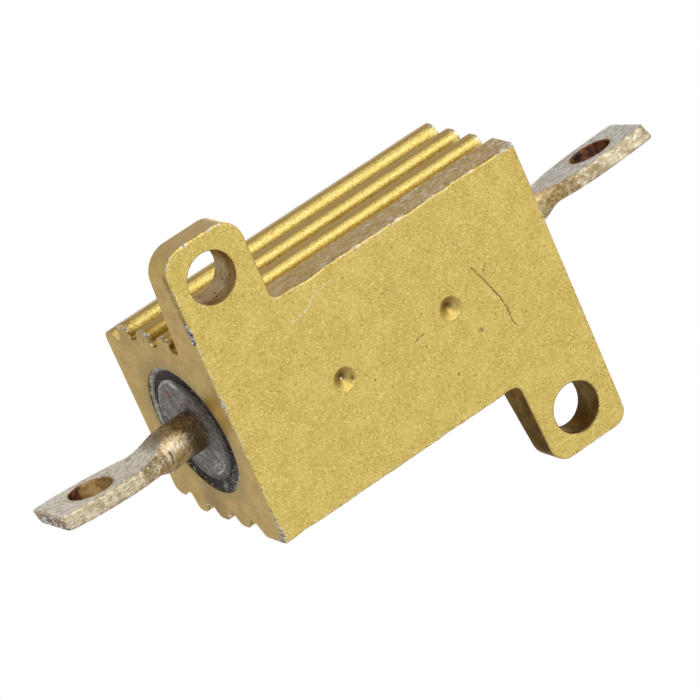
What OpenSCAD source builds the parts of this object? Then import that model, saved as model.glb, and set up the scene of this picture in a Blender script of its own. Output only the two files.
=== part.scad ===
// Aluminium housed wire-wound power resistor with two diagonal mounting lugs.
// Frame: the mounting face lies in z = 0, +Z points away from it, X runs along
// the resistance element from terminal to terminal, Y across the housing.
// The origin is the middle of the housing's foot on the mounting face.

/* [Housing] */
// Length of the housing along X
body_l = 18.8; // [17.6:0.1:22]
// Width of the base plate without its lugs
base_w = 10.66; // [10.4:0.02:11.4]
// Height of the housing above the mounting face
body_h = 9.66; // [9.6:0.02:10.4]
// Height of the bore axis, and so of the terminals, above the mounting face
axis_z = 4.6; // [4.4:0.05:4.9]
// Diameter of the bore that holds the resistance element
bore_d = 6.8; // [6.4:0.1:7]

/* [Side ridges] */
// Depth of the grooves between the ridges
groove_depth = 0.73; // [0.5:0.01:0.9]
// Height of the first ridge's underside
ridge_z = 3.02; // [2.96:0.01:3.06]
// Height of a ridge from its underside up
ridge_h = 0.97; // [0.85:0.01:1]
// Height of the base plate's straight side
plate_h = 1.76; // [1.5:0.02:1.9]
// Spacing of the ridges
ridge_pitch = 1.95; // [1.85:0.01:1.96]
// Half width of the narrower top block
top_half_w = 4.6; // [4.4:0.01:4.66]

/* [Lugs] */
// Width of the housing across both lugs
lug_span = 20.1; // [19.6:0.1:21]
// Width of a lug along X
lug_w = 4.42; // [4.2:0.02:4.8]
// Thickness of a lug where it joins the housing
lug_root_t = 2.38; // [2:0.01:2.4]
// Thickness of a lug at its outer edge
lug_tip_t = 1.56; // [1.2:0.01:1.9]
// Diameter of the mounting holes
hole_d = 2.5; // [2.2:0.05:2.9]
// Spacing of the mounting holes along X
hole_pitch_x = 14.3; // [14:0.05:14.6]
// Spacing of the mounting holes along Y
hole_pitch_y = 15.9; // [15.6:0.05:16.1]
// Offset of the hole pattern and punch marks from the middle of the length
pattern_x = -0.13; // [-0.2:0.01:0.2]

/* [Resistance element] */
// Diameter of the ceramic core
core_d = 4.6; // [4.4:0.1:4.6]
// Outer diameter of the end caps
cap_d = 5.44; // [5.4:0.02:5.9]
// How far the end cap's face stands back from the housing's end
cap_recess = 0.02; // [0.01:0.01:0.18]
// How far the potting stands back from the housing's end
potting_recess = 0.06; // [0.04:0.01:0.4]
// Diameter of the resistance wire
wire_d = 0.26; // [0.2:0.01:0.28]
// Number of turns in the winding
turns = 14; // [8:1:18]

/* [Terminals] */
// Diameter of the terminal pins
pin_d = 2.06; // [1.9:0.02:2.1]
// Thickness of the flattened blades
blade_t = 0.8; // [0.7:0.02:0.9]
// Width of the left blade at its eyelet
blade_w_left = 3.24; // [3.1:0.02:3.5]
// Width of the right blade at its eyelet
blade_w_right = 3.5; // [3.3:0.02:3.7]
// Diameter of the eyelets
eyelet_d = 2.16; // [2:0.02:2.2]
// Distance of the left eyelet from the middle of the housing
eyelet_x_left = 15.21; // [15.2:0.01:15.6]
// Distance of the right eyelet from the middle of the housing
eyelet_x_right = 15.36; // [15.3:0.01:15.7]
// Length of a blade's front face (-Y) beyond its eyelet's centre
blade_end = 2.52; // [2:0.02:2.7]
// How much longer the left blade's back face is
end_skew_left = -0.2; // [-0.3:0.02:0.3]
// How much longer the right blade's back face is
end_skew_right = 0.28; // [-0.3:0.02:0.3]

/* [Hidden] */
hl = body_l / 2;
hw = base_w / 2;
floor_y = hw - groove_depth;
cap_x = hl - cap_recess;           // outer face of a cap
cap_wall = 0.9;                    // thickness of a cap's end wall
cap_depth = 1.3;                   // how far a cap reaches over the core
core_half = cap_x - cap_wall;      // half length of the core
cap_rim_x = core_half - cap_depth; // inner end of a cap
lug_out = lug_span / 2;
r_left_outer = 1.3;                // lug corner radii
r_left_inner = 1.25;
r_right_outer = 0.8;
r_right_inner = 0.95;
root_r = 0.4;                      // fillet between a lug and the base plate
mark_r = 0.74;                     // punch mark sphere
mark_pitch = 6.38;                 // spacing of the two punch marks

// One ridge on the +Y side, from the groove floor below it up to its sloping back; h is its height
function ridge(z, h) = [
    [floor_y, z - 0.22], [floor_y + 0.17, z - 0.03],
    [hw - 0.34, z - 0.01], [hw - 0.2, z + 0.04], [hw - 0.09, z + 0.15], [hw - 0.05, z + 0.32],
    [hw - 0.07, z + h - 0.2], [hw - 0.13, z + h - 0.06], [hw - 0.28, z + h]];
// Right half of the housing's section, from the foot up to the top face
half_section = concat(
    [[hw - 0.16, 0], [hw - 0.05, 0.05], [hw, 0.16], [hw, plate_h - 0.14], [hw - 0.05, plate_h + 0.02], [hw - 0.17, plate_h + 0.16], [floor_y, plate_h + 0.7]],
    ridge(ridge_z, ridge_h),
    [[floor_y, ridge_z + 1.33]], ridge(ridge_z + ridge_pitch, ridge_h),
    [[floor_y, ridge_z + ridge_pitch + 1.33]], ridge(ridge_z + 2 * ridge_pitch, ridge_h + 0.05),
    [[top_half_w - 0.34, ridge_z + 2 * ridge_pitch + 1.18], [top_half_w - 0.34, body_h - 1.34],
     [top_half_w - 0.05, body_h - 0.9], [top_half_w, body_h - 0.5],
     [top_half_w - 0.14, body_h - 0.22], [top_half_w - 0.38, body_h - 0.05], [top_half_w - 0.62, body_h]]);
full_section = concat(half_section, [for (i = [len(half_section) - 1 : -1 : 0]) [-half_section[i][0], half_section[i][1]]]);

// A prism along X from a section given as [y, z] points
module along_x(points, x0, x1) {
    translate([x0, 0, 0]) rotate([90, 0, 90]) linear_extrude(height = x1 - x0) polygon(points);
}
// A cylinder along X on the resistance element's axis
module axle(x0, x1, d, n = 64) {
    translate([x0, 0, axis_z]) rotate([0, 90, 0]) cylinder(d = d, h = x1 - x0, $fn = n);
}
// Plan of a lug that points to -Y: straight sides x0 (outer) and x1 (inner), corner radii ro and ri
module lug_plan(x0, x1, lean, ro, ri) {
    difference() {
        polygon([[x0, -hw + 1], [x0, -lug_out], [x1, -lug_out], [x1 + lean, -hw + 0.2], [x1 + lean, -hw + 1]]);
        translate([x0 - 1, -lug_out - 1]) square([ro + 1, ro + 1]);
        translate([x1 - ri, -lug_out - 1]) square([ri + 1, ri + 1]);
    }
    translate([x0 + ro, -lug_out + ro]) circle(r = ro, $fn = 48);
    translate([x1 - ri, -lug_out + ri]) circle(r = ri, $fn = 48);
    // fillet into the base plate's side
    difference() {
        translate([x1 + lean - 0.1, -hw - root_r]) square([root_r + 0.1, root_r + 0.3]);
        translate([x1 + lean + root_r, -hw - root_r]) circle(r = root_r, $fn = 40);
    }
}
// A lug that points to -Y at the -X end, thinner towards its outer edge
module lug(lean, ro, ri) {
    intersection() {
        translate([0, 0, -1]) linear_extrude(height = 4) lug_plan(-hl, -hl + lug_w, lean, ro, ri);
        along_x([[-floor_y, 0], [-floor_y, lug_root_t], [-lug_out, lug_tip_t], [-lug_out - 1, lug_tip_t], [-lug_out - 1, 0]], -hl - 1, hl);
    }
}

module housing() {
    color("darkkhaki") difference() {
        union() {
            along_x(full_section, -hl, hl);
            lug(0, r_left_outer, r_left_inner);
            rotate([0, 0, 180]) lug(0.22, r_right_outer, r_right_inner);
        }
        axle(-hl - 1, hl + 1, bore_d);
        for (s = [-1, 1])
            translate([pattern_x + s * hole_pitch_x / 2, s * hole_pitch_y / 2, -1]) cylinder(d = hole_d, h = 5, $fn = 64);
        for (s = [-1, 1])
            translate([pattern_x + s * mark_pitch / 2, 0, -mark_r + 0.3]) sphere(r = mark_r, $fn = 40);
    }
}

module ceramic_core() {
    color("ivory") axle(-core_half, core_half, core_d);
}

// The wire's tube follows a helix round the core; every ring is a small polygon
module resistance_winding() {
    steps = 18;
    sides = 6;
    n = turns * steps;
    span = 2 * (cap_rim_x - wire_d * 0.75);
    r_in = core_d / 2 / cos(180 / steps) + 0.004;
    r_mid = r_in + wire_d / 2;
    pts = [for (i = [0 : n]) for (j = [0 : sides - 1])
        let (a = 360 * i / steps, b = 360 * (j + 0.5) / sides, r = r_mid + wire_d / 2 * sin(b))
            [-span / 2 + span * i / n + wire_d / 2 * cos(b), r * cos(a), axis_z + r * sin(a)]];
    faces = concat(
        [[for (j = [0 : sides - 1]) j]],
        [[for (j = [sides - 1 : -1 : 0]) n * sides + j]],
        [for (i = [0 : n - 1]) for (j = [0 : sides - 1])
            [i * sides + j, (i + 1) * sides + j, (i + 1) * sides + (j + 1) % sides, i * sides + (j + 1) % sides]]);
    color("silver") polyhedron(points = pts, faces = faces, convexity = 10);
}

// A cup with its mouth towards the middle of the housing
module end_cap() {
    difference() {
        axle(cap_rim_x, cap_x, cap_d);
        axle(cap_rim_x - 1, core_half, core_d);
    }
}
module end_cap_left() {
    color("dimgray") mirror([1, 0, 0]) end_cap();
}
module end_cap_right() {
    color("dimgray") end_cap();
}

// Terminal on the +X side. e = eyelet's place, w = blade width, twist and yaw turn the blade,
// skew = how much longer its back face is than its front face
module terminal(e, w, twist, yaw, dy, dz, skew) {
    long = blade_end + max(0, skew);
    axle(cap_x, hl + 2.0, pin_d, 48);
    // weld bead at the cap
    translate([cap_x, 0, axis_z]) rotate([0, 90, 0]) cylinder(r1 = pin_d / 2 + 0.14, r2 = pin_d / 2, h = 0.14, $fn = 48);
    // where the round pin is pressed flat
    hull() {
        axle(hl + 1.5, hl + 2.0, pin_d, 32);
        blade_place(e, twist, yaw, dy, dz) translate([-3.05, -blade_t / 2, -1.2]) cube([0.2, blade_t, 2.4]);
    }
    blade_place(e, twist, yaw, dy, dz) difference() {
        rotate([90, 0, 0]) translate([0, 0, -blade_t / 2]) linear_extrude(height = blade_t) difference() {
            polygon([[-3.0, -1.2], [-2.2, -w / 2 + 0.22], [-1.3, -w / 2 + 0.08], [-0.4, -w / 2], [0.8, -w / 2], [2.0, -w / 2 + 0.09], [long - 0.12, -w / 2 + 0.16], [long, -w / 2 + 0.34],
                     [long, w / 2 - 0.34], [long - 0.12, w / 2 - 0.1], [1.2, w / 2], [-0.4, w / 2], [-1.3, w / 2 - 0.08], [-2.2, w / 2 - 0.22], [-3.0, 1.2]]);
            circle(d = eyelet_d, $fn = 48);
        }
        // the end is sheared off askew
        translate([blade_end + skew / 2, 0, 0]) rotate([0, 0, -atan2(skew, blade_t)]) translate([0, -2, -3]) cube([2, 4, 6]);
    }
}
module blade_place(e, twist, yaw, dy, dz) {
    translate([e, dy, axis_z + dz]) rotate([0, 0, yaw]) rotate([twist, 0, 0]) children();
}
module terminal_right() {
    color("tan") terminal(eyelet_x_right, blade_w_right, -8.9, -2.4, -0.2, 0.08, end_skew_right);
}
module terminal_left() {
    color("tan") mirror([1, 0, 0]) terminal(eyelet_x_left, blade_w_left, -3.7, -3.6, -0.02, 0.03, end_skew_left);
}

// Fills the bore round the winding and the caps
module potting() {
    color("darkslategray") difference() {
        axle(-hl + potting_recess, hl - potting_recess, bore_d);
        axle(-cap_rim_x, cap_rim_x, core_d + 2 * wire_d + 0.2);
        for (s = [0, 1]) mirror([s, 0, 0]) axle(cap_rim_x, hl + 1, cap_d);
    }
}

housing();
ceramic_core();
resistance_winding();
end_cap_left();
end_cap_right();
terminal_left();
terminal_right();
potting();
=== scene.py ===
import math
import random

import bmesh
import bpy
import numpy as np
from mathutils import Matrix, Vector, noise


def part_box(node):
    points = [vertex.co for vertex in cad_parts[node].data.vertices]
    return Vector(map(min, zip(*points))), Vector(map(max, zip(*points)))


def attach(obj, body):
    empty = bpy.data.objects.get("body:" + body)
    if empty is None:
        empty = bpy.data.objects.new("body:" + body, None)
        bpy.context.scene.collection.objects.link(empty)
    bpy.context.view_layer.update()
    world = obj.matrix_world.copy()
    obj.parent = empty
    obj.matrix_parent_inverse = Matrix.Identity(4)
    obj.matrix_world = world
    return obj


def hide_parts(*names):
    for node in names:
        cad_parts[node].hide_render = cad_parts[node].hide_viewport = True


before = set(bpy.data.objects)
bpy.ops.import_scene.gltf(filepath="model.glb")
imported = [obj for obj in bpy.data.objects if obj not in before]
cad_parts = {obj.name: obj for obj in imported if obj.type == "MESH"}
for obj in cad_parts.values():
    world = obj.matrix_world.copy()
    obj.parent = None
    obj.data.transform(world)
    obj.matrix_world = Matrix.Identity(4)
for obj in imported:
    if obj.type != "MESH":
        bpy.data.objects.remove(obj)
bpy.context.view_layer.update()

# ---------------------------------------------------------------- sizes, in mm
H_LO, H_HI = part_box("housing")
HL = round(H_HI.x * 1000, 3)          # half length of the housing
BH = round(H_HI.z * 1000, 3)          # height of the housing
LUG_OUT = round(H_HI.y * 1000, 3)     # outer edge of the lugs
P_LO, P_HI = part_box("potting")
AZ = round((P_LO.z + P_HI.z) * 500, 3)     # height of the bore axis
BORE_R = round((P_HI.z - P_LO.z) * 500, 3)
POT_X = round(P_HI.x * 1000, 3)            # where the potting ends
C_LO, C_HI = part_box("end_cap_right")
CAP_R = round((C_HI.z - C_LO.z) * 500, 3)
CAP_X = round(C_HI.x * 1000, 3)            # outer face of an end cap
CAP_RIM = round(C_LO.x * 1000, 3)          # its inner rim
HW = 5.33                                  # half width of the base plate
FLOOR_Y = 4.60                             # groove floors
EDGE = 0.11                                # worn edges
SEG = 4                                    # facets round a worn edge
HOLE_R = 1.25
PATTERN_X = -0.13
HOLES = [(PATTERN_X - 7.15, -7.95), (PATTERN_X + 7.15, 7.95)]
MARKS = [(PATTERN_X - 3.19, 0.0), (PATTERN_X + 3.19, 0.0)]


def lug_top(y):
    """Height of a lug's sloping top at a distance |y| from the middle."""
    return 2.38 - (2.38 - 1.56) * (abs(y) - FLOOR_Y) / (LUG_OUT - FLOOR_Y)


# ---------------------------------------------------------------- mesh tools
def smooth01(t):
    t = min(1.0, max(0.0, t))
    return t * t * (3 - 2 * t)


def table(r, n=SEG):
    """(inset, height) pairs of a quarter round from the flat face to the side."""
    return [(round(r * (1 - math.sin(math.pi / 2 * k / n)), 6), round(r * (1 - math.cos(math.pi / 2 * k / n)), 6)) for k in range(n + 1)]


def outline(corners, inset, seg=SEG):
    """A closed outline, counter-clockwise, from (x, y, radius) corners, drawn in by inset. The number of points stays the same."""
    n, out = len(corners), []
    for i in range(n):
        p, q, s = (np.array(corners[(i + k) % n][:2], float) for k in (-1, 0, 1))
        r = corners[i][2]
        d1, d2 = (q - p) / np.linalg.norm(q - p), (s - q) / np.linalg.norm(s - q)
        n1, n2 = np.array([-d1[1], d1[0]]), np.array([-d2[1], d2[0]])
        cross = d1[0] * d2[1] - d1[1] * d2[0]
        a, b = q + n1 * inset, q + n2 * inset
        if abs(cross) < 1e-9:
            c = a
        else:
            t = ((b - a)[0] * d2[1] - (b - a)[1] * d2[0]) / cross
            c = a + d1 * t
        if r == 0:
            out.append((round(c[0], 6), round(c[1], 6)))
            continue
        rr = max(r - inset, 0.006) if cross > 0 else r + inset
        turn = math.atan2(cross, float(d1 @ d2))
        cut = rr * math.tan(abs(turn) / 2)
        start = c - d1 * cut
        centre = start + (n1 if cross > 0 else -n1) * rr
        a0 = math.atan2(*(start - centre)[::-1])
        steps = seg if r < 0.6 else 14
        for k in range(steps + 1):
            w = a0 + turn * k / steps
            out.append((round(centre[0] + rr * math.cos(w), 6), round(centre[1] + rr * math.sin(w), 6)))
    return out


def loft(rings, caps=True):
    """A closed mesh through rings of equal length. Returns (verts, faces)."""
    n = len(rings[0])
    verts = [tuple(p) for r in rings for p in r]
    faces = []
    for j in range(len(rings) - 1):
        for i in range(n):
            k = (i + 1) % n
            faces.append((j * n + i, j * n + k, (j + 1) * n + k, (j + 1) * n + i))
    if caps:
        faces.append(tuple(range(n - 1, -1, -1)))
        faces.append(tuple((len(rings) - 1) * n + i for i in range(n)))
    return verts, faces


def obj_from(name, verts, faces, index=0, smooth=True):
    me = bpy.data.meshes.new(name)
    me.from_pydata([tuple(float(c) for c in v) for v in verts], [], [tuple(f) for f in faces])
    me.validate()
    for k in range(3):
        me.materials.append(None)
    bm = bmesh.new()
    bm.from_mesh(me)
    bmesh.ops.recalc_face_normals(bm, faces=bm.faces)
    for f in bm.faces:
        f.smooth = smooth
        f.material_index = index
    bm.to_mesh(me)
    bm.free()
    o = bpy.data.objects.new(name, me)
    bpy.context.scene.collection.objects.link(o)
    return o


def revolve(profile, axis, centre, n=64, top=None):
    """A closed solid of revolution. profile is a list of (radius, along); axis is 0 (X) or 2 (Z). top moves points up or down by their place."""
    rings = []
    for r, a in profile:
        ring = []
        for i in range(n):
            w = 2 * math.pi * i / n
            c, s = r * math.cos(w), r * math.sin(w)
            if axis == 0:
                p = [centre[0] + a, centre[1] + c, centre[2] + s]
            else:
                p = [centre[0] + c, centre[1] + s, centre[2] + a]
                if top and a > 0.8:
                    p[2] += top(p[1])
            ring.append([round(v, 6) for v in p])
        rings.append(ring)
    return loft(rings)


def drop(o):
    me = o.data
    bpy.data.objects.remove(o)
    bpy.data.meshes.remove(me)


def boolean(a, b, op, keep=False):
    m = a.modifiers.new("b", "BOOLEAN")
    m.operation, m.solver, m.object = op, "MANIFOLD", b
    bake_modifiers(a)
    if not keep:
        drop(b)
    return a


def bake_modifiers(o):
    dg = bpy.context.evaluated_depsgraph_get()
    dg.update()
    me = bpy.data.meshes.new_from_object(o.evaluated_get(dg), preserve_all_data_layers=True, depsgraph=dg)
    o.modifiers.clear()
    old = o.data
    o.data = me
    bpy.data.meshes.remove(old)


def tidy(o, dist=0.0005):
    bm = bmesh.new()
    bm.from_mesh(o.data)
    bmesh.ops.remove_doubles(bm, verts=bm.verts, dist=dist)
    bmesh.ops.dissolve_degenerate(bm, edges=bm.edges, dist=dist)
    loose = [v for v in bm.verts if not v.link_faces]
    bmesh.ops.delete(bm, geom=loose, context="VERTS")
    bmesh.ops.recalc_face_normals(bm, faces=bm.faces)
    bm.to_mesh(o.data)
    bm.free()


def shade(o, angle=38.0, weighted=True):
    """Smooth faces, sharp only over the angle, with normals led by the large faces."""
    bm = bmesh.new()
    bm.from_mesh(o.data)
    for f in bm.faces:
        f.smooth = True
    lim = math.radians(angle)
    for e in bm.edges:
        e.smooth = len(e.link_faces) == 2 and e.calc_face_angle(0.0) < lim
    bm.to_mesh(o.data)
    bm.free()
    if weighted:
        m = o.modifiers.new("w", "WEIGHTED_NORMAL")
        m.mode, m.weight, m.keep_sharp = "FACE_AREA", 50, True
        bake_modifiers(o)


def to_metres(o):
    o.data.transform(Matrix.Scale(0.001, 4))
    o.data.update()


def rough(p, scale, seed=0.0):
    """Smooth noise between -1 and 1 at a place in mm."""
    return noise.noise(Vector(p) * scale + Vector((seed, seed * 1.7, -seed)))


# ---------------------------------------------------------------- the housing
def side_corners(cut):
    """Corners of one side of the housing's section, foot to top, as (y, z, radius). cut shortens the ridges."""
    pts = [(HW, 0.0, EDGE + 0.01), (HW, 1.84, 0.3), (FLOOR_Y, 2.42, 0.3)]
    for k in range(3):
        z = 3.01 + 1.95 * k
        h = 0.96 if k < 2 else 1.01
        pts += [(FLOOR_Y, z, 0.2 if k < 2 else 0.08), (HW - 0.055 - cut, z + 0.01, 0.40 if k < 2 else 0.50), (HW - 0.085 - cut, z + h, 0.28)]
        if k < 2:
            pts.append((FLOOR_Y, z + 1.36, 0.16))
    pts += [(4.27, 8.12, 0.15), (4.27, 8.38, 0.15), (4.59 - cut * 0.5, 8.84, 0.24), (4.59 - cut * 0.5, BH, 0.5)]
    return pts


def housing_body():
    plus, minus = side_corners(0.09), side_corners(0.0)
    corners = plus + [(-y, z, r) for y, z, r in minus[::-1]]
    crisp = 0.035                       # the sawn ends keep sharp edges, except along the foot
    ends = [(h, i) for i, h in table(EDGE)]
    rows = [(-HL + h, crisp * (i / EDGE) ** 2, i) for h, i in ends]
    inner = np.linspace(-HL + EDGE, HL - EDGE, 121)[1:-1]
    rows += [(float(x), 0.0, 0.0) for x in inner]
    rows += [(HL - h, crisp * (i / EDGE) ** 2, i) for h, i in ends[::-1]]
    rings = []
    for x, inset, foot in rows:
        ring = []
        for y, z in outline(corners, inset):
            p = Vector((round(x, 6), y, max(z, foot)))
            w = smooth01((z - 2.7) / 0.5)
            if w > 0 and z < BH - 0.02:
                # drawn-in unevenness of the extruded sides
                d = w * (0.007 * rough(p, 1.3, 3.0) + 0.004 * rough((x * 3.1, y * 1.2, z * 2.1), 1.0, 8.0))
                p.y += d if y < 0 else -d
                p.z += 0.4 * d
            if z < 0.5 and abs(y) > 4.9:
                # the foot's long edges are battered
                d = 0.08 * max(0.0, 0.1 + rough((x, y, 0.0), 0.8, 21.0)) + 0.04 * max(0.0, rough((x, y, 0.0), 3.1, 31.0))
                d *= smooth01((0.5 - z) / 0.4) * smooth01((HL - 0.2 - abs(x)) / 0.5)
                p.y += d if y < 0 else -d
            ring.append(p)
        rings.append(ring)
    return obj_from("housing_body", *loft(rings))


def lug(name, lean, ro, ri, turn):
    x0, x1 = -HL, -HL + 4.42
    xr = x1 + lean
    corners = [(x0, -4.3, 0.0), (x0, -LUG_OUT, ro), (x1, -LUG_OUT, ri), (xr, -HW, 0.4), (xr + 0.46, -HW, 0.0), (xr, -4.3, 0.0)]
    rings = []
    for inset, h in table(EDGE):
        rings.append([(x, y, h) for x, y in outline(corners, inset)])
    for inset, h in table(0.07)[::-1]:
        rings.append([(x, y, lug_top(y) - h) for x, y in outline(corners, inset)])
    if turn:
        rings = [[(-x, -y, z) for x, y, z in r] for r in rings]
    return obj_from(name, *loft(rings))


def hole_cutter(x, y):
    r = 0.05
    prof = [(HOLE_R + r, -1.0)] + [(HOLE_R + i, h) for i, h in table(r)]
    prof += [(HOLE_R, 0.6)]
    low = [(a, b) for a, b in prof]
    up = [(HOLE_R + i, 1.0 - h) for i, h in table(r)[::-1]] + [(HOLE_R + r, 2.0)]
    return obj_from("cut", *revolve(low + up, 2, (x, y, 0.0), 72, top=lambda yy: lug_top(yy) - 1.0), index=2)


def bore_cutter():
    r = 0.03
    left = [(BORE_R + r, -HL - 1)] + [(BORE_R + i, -HL + h) for i, h in table(r)]
    right = [(a, -b) for a, b in left[::-1]]
    return obj_from("cut", *revolve(left + right, 0, (0, 0, AZ), 128))


def mark_cutter(x, y, tilt):
    """A blunt round punch mark in the base, a little deeper on one side."""
    rr = [0.70, 0.625, 0.60, 0.575, 0.54, 0.48, 0.40, 0.31, 0.21, 0.12, 0.05]
    zz = [-0.10, -0.008, 0.006, 0.024, 0.048, 0.092, 0.15, 0.215, 0.285, 0.335, 0.355]
    verts, n = [], 48
    for r, z in zip(rr, zz):
        for i in range(n):
            w = 2 * math.pi * i / n
            px, py = r * math.cos(w), r * math.sin(w)
            verts.append((x + px, y + py, z + 0.12 * (px * tilt[0] + py * tilt[1]) * smooth01(z / 0.2)))
    rings = [verts[i * n:(i + 1) * n] for i in range(len(rr))]
    return obj_from("cut", *loft(rings))


def chip_cutter(place, size, seed, flat=1.0):
    """A small broken lump that takes a flake out of an edge."""
    bm = bmesh.new()
    bmesh.ops.create_icosphere(bm, subdivisions=2, radius=1.0)
    for v in bm.verts:
        d = 1 + 0.28 * noise.noise(v.co * 1.6 + Vector((seed, 2 * seed, 0))) + 0.12 * noise.noise(v.co * 4.0 + Vector((0, seed, seed)))
        v.co = Vector((v.co.x * size[0] * d, v.co.y * size[1] * d, v.co.z * size[2] * d)) + Vector(place)
    me = bpy.data.meshes.new("cut")
    for k in range(3):
        me.materials.append(None)
    for f in bm.faces:
        f.material_index = 1
        f.smooth = True
    bm.to_mesh(me)
    bm.free()
    o = bpy.data.objects.new("cut", me)
    bpy.context.scene.collection.objects.link(o)
    return o


# place (mm), half sizes, seed
CHIPS = [
    ((-9.50, -6.15, -0.03), (0.24, 0.26, 0.30), 1.0),
    ((-9.51, -5.70, -0.02), (0.22, 0.24, 0.27), 2.0),
    ((-9.49, -6.60, 0.00), (0.17, 0.20, 0.20), 3.0),
    ((-9.50, -2.29, -0.02), (0.18, 0.22, 0.18), 4.0),
    ((-9.50, -1.76, -0.03), (0.16, 0.17, 0.15), 5.0),
    ((-9.50, -1.16, -0.04), (0.15, 0.13, 0.13), 6.0),
    ((-9.50, 5.25, 0.20), (0.18, 0.20, 0.26), 7.0),
    ((-9.49, 4.80, -0.06), (0.17, 0.26, 0.17), 8.0),
    ((9.44, -5.36, -0.04), (0.30, 0.24, 0.22), 9.0),
    ((8.95, -5.44, -0.05), (0.32, 0.17, 0.17), 10.0),
    ((8.3, -5.47, -0.06), (0.20, 0.15, 0.15), 11.0),
    ((-9.22, -9.64, -0.09), (0.13, 0.13, 0.13), 12.0),
    ((-8.72, -10.03, -0.09), (0.22, 0.10, 0.13), 13.0),
    ((-7.9, -10.13, -0.08), (0.16, 0.12, 0.13), 14.0),
    ((-9.5, -5.2, 7.05), (0.20, 0.22, 0.16), 15.0),
    ((-9.5, -5.2, 5.1), (0.18, 0.20, 0.14), 16.0),
    ((-9.5, -5.22, 3.2), (0.16, 0.20, 0.13), 17.0),
    ((9.46, 9.20, -0.03), (0.16, 0.22, 0.20), 18.0),
    ((-4.6, 5.42, -0.07), (0.25, 0.15, 0.15), 19.0),
    ((9.48, 3.81, -0.05), (0.14, 0.18, 0.16), 20.0),
    ((2.05, -5.44, -0.06), (0.22, 0.14, 0.14), 21.0),
    ((1.50, -5.44, -0.06), (0.16, 0.13, 0.13), 22.0),
    ((0.45, -5.45, -0.06), (0.34, 0.15, 0.14), 23.0),
    ((4.10, -5.45, -0.05), (0.30, 0.14, 0.14), 24.0),
]


def build_housing():
    o = housing_body()
    boolean(o, lug("lug", 0.0, 1.3, 1.25, False), "UNION")
    boolean(o, lug("lug", 0.22, 0.8, 0.95, True), "UNION")
    boolean(o, bore_cutter(), "DIFFERENCE")
    for x, y in HOLES:
        boolean(o, hole_cutter(x, y), "DIFFERENCE")
    boolean(o, mark_cutter(*MARKS[0], (0.6, -0.8)), "DIFFERENCE")
    boolean(o, mark_cutter(*MARKS[1], (0.4, -0.9)), "DIFFERENCE")
    for place, size, seed in CHIPS:
        boolean(o, chip_cutter(place, size, seed), "DIFFERENCE")
    tidy(o)
    # the inner side of the right lug takes the hole wall's material and its painted shade
    for poly in o.data.polygons:
        c = sum((o.data.vertices[v].co for v in poly.vertices), Vector()) / len(poly.vertices)
        if poly.normal.x < -0.6 and c.x > 4.0 and c.y > HW + 0.02 and c.z > 0.12 and (c - Vector((HOLES[1][0], HOLES[1][1], c.z))).length > HOLE_R + 0.2:
            poly.material_index = 2
    return o


# ---------------------------------------------------------------- the terminals
def interp(x, pts):
    return float(np.interp(x, [p[0] for p in pts], [p[1] for p in pts]))


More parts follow.
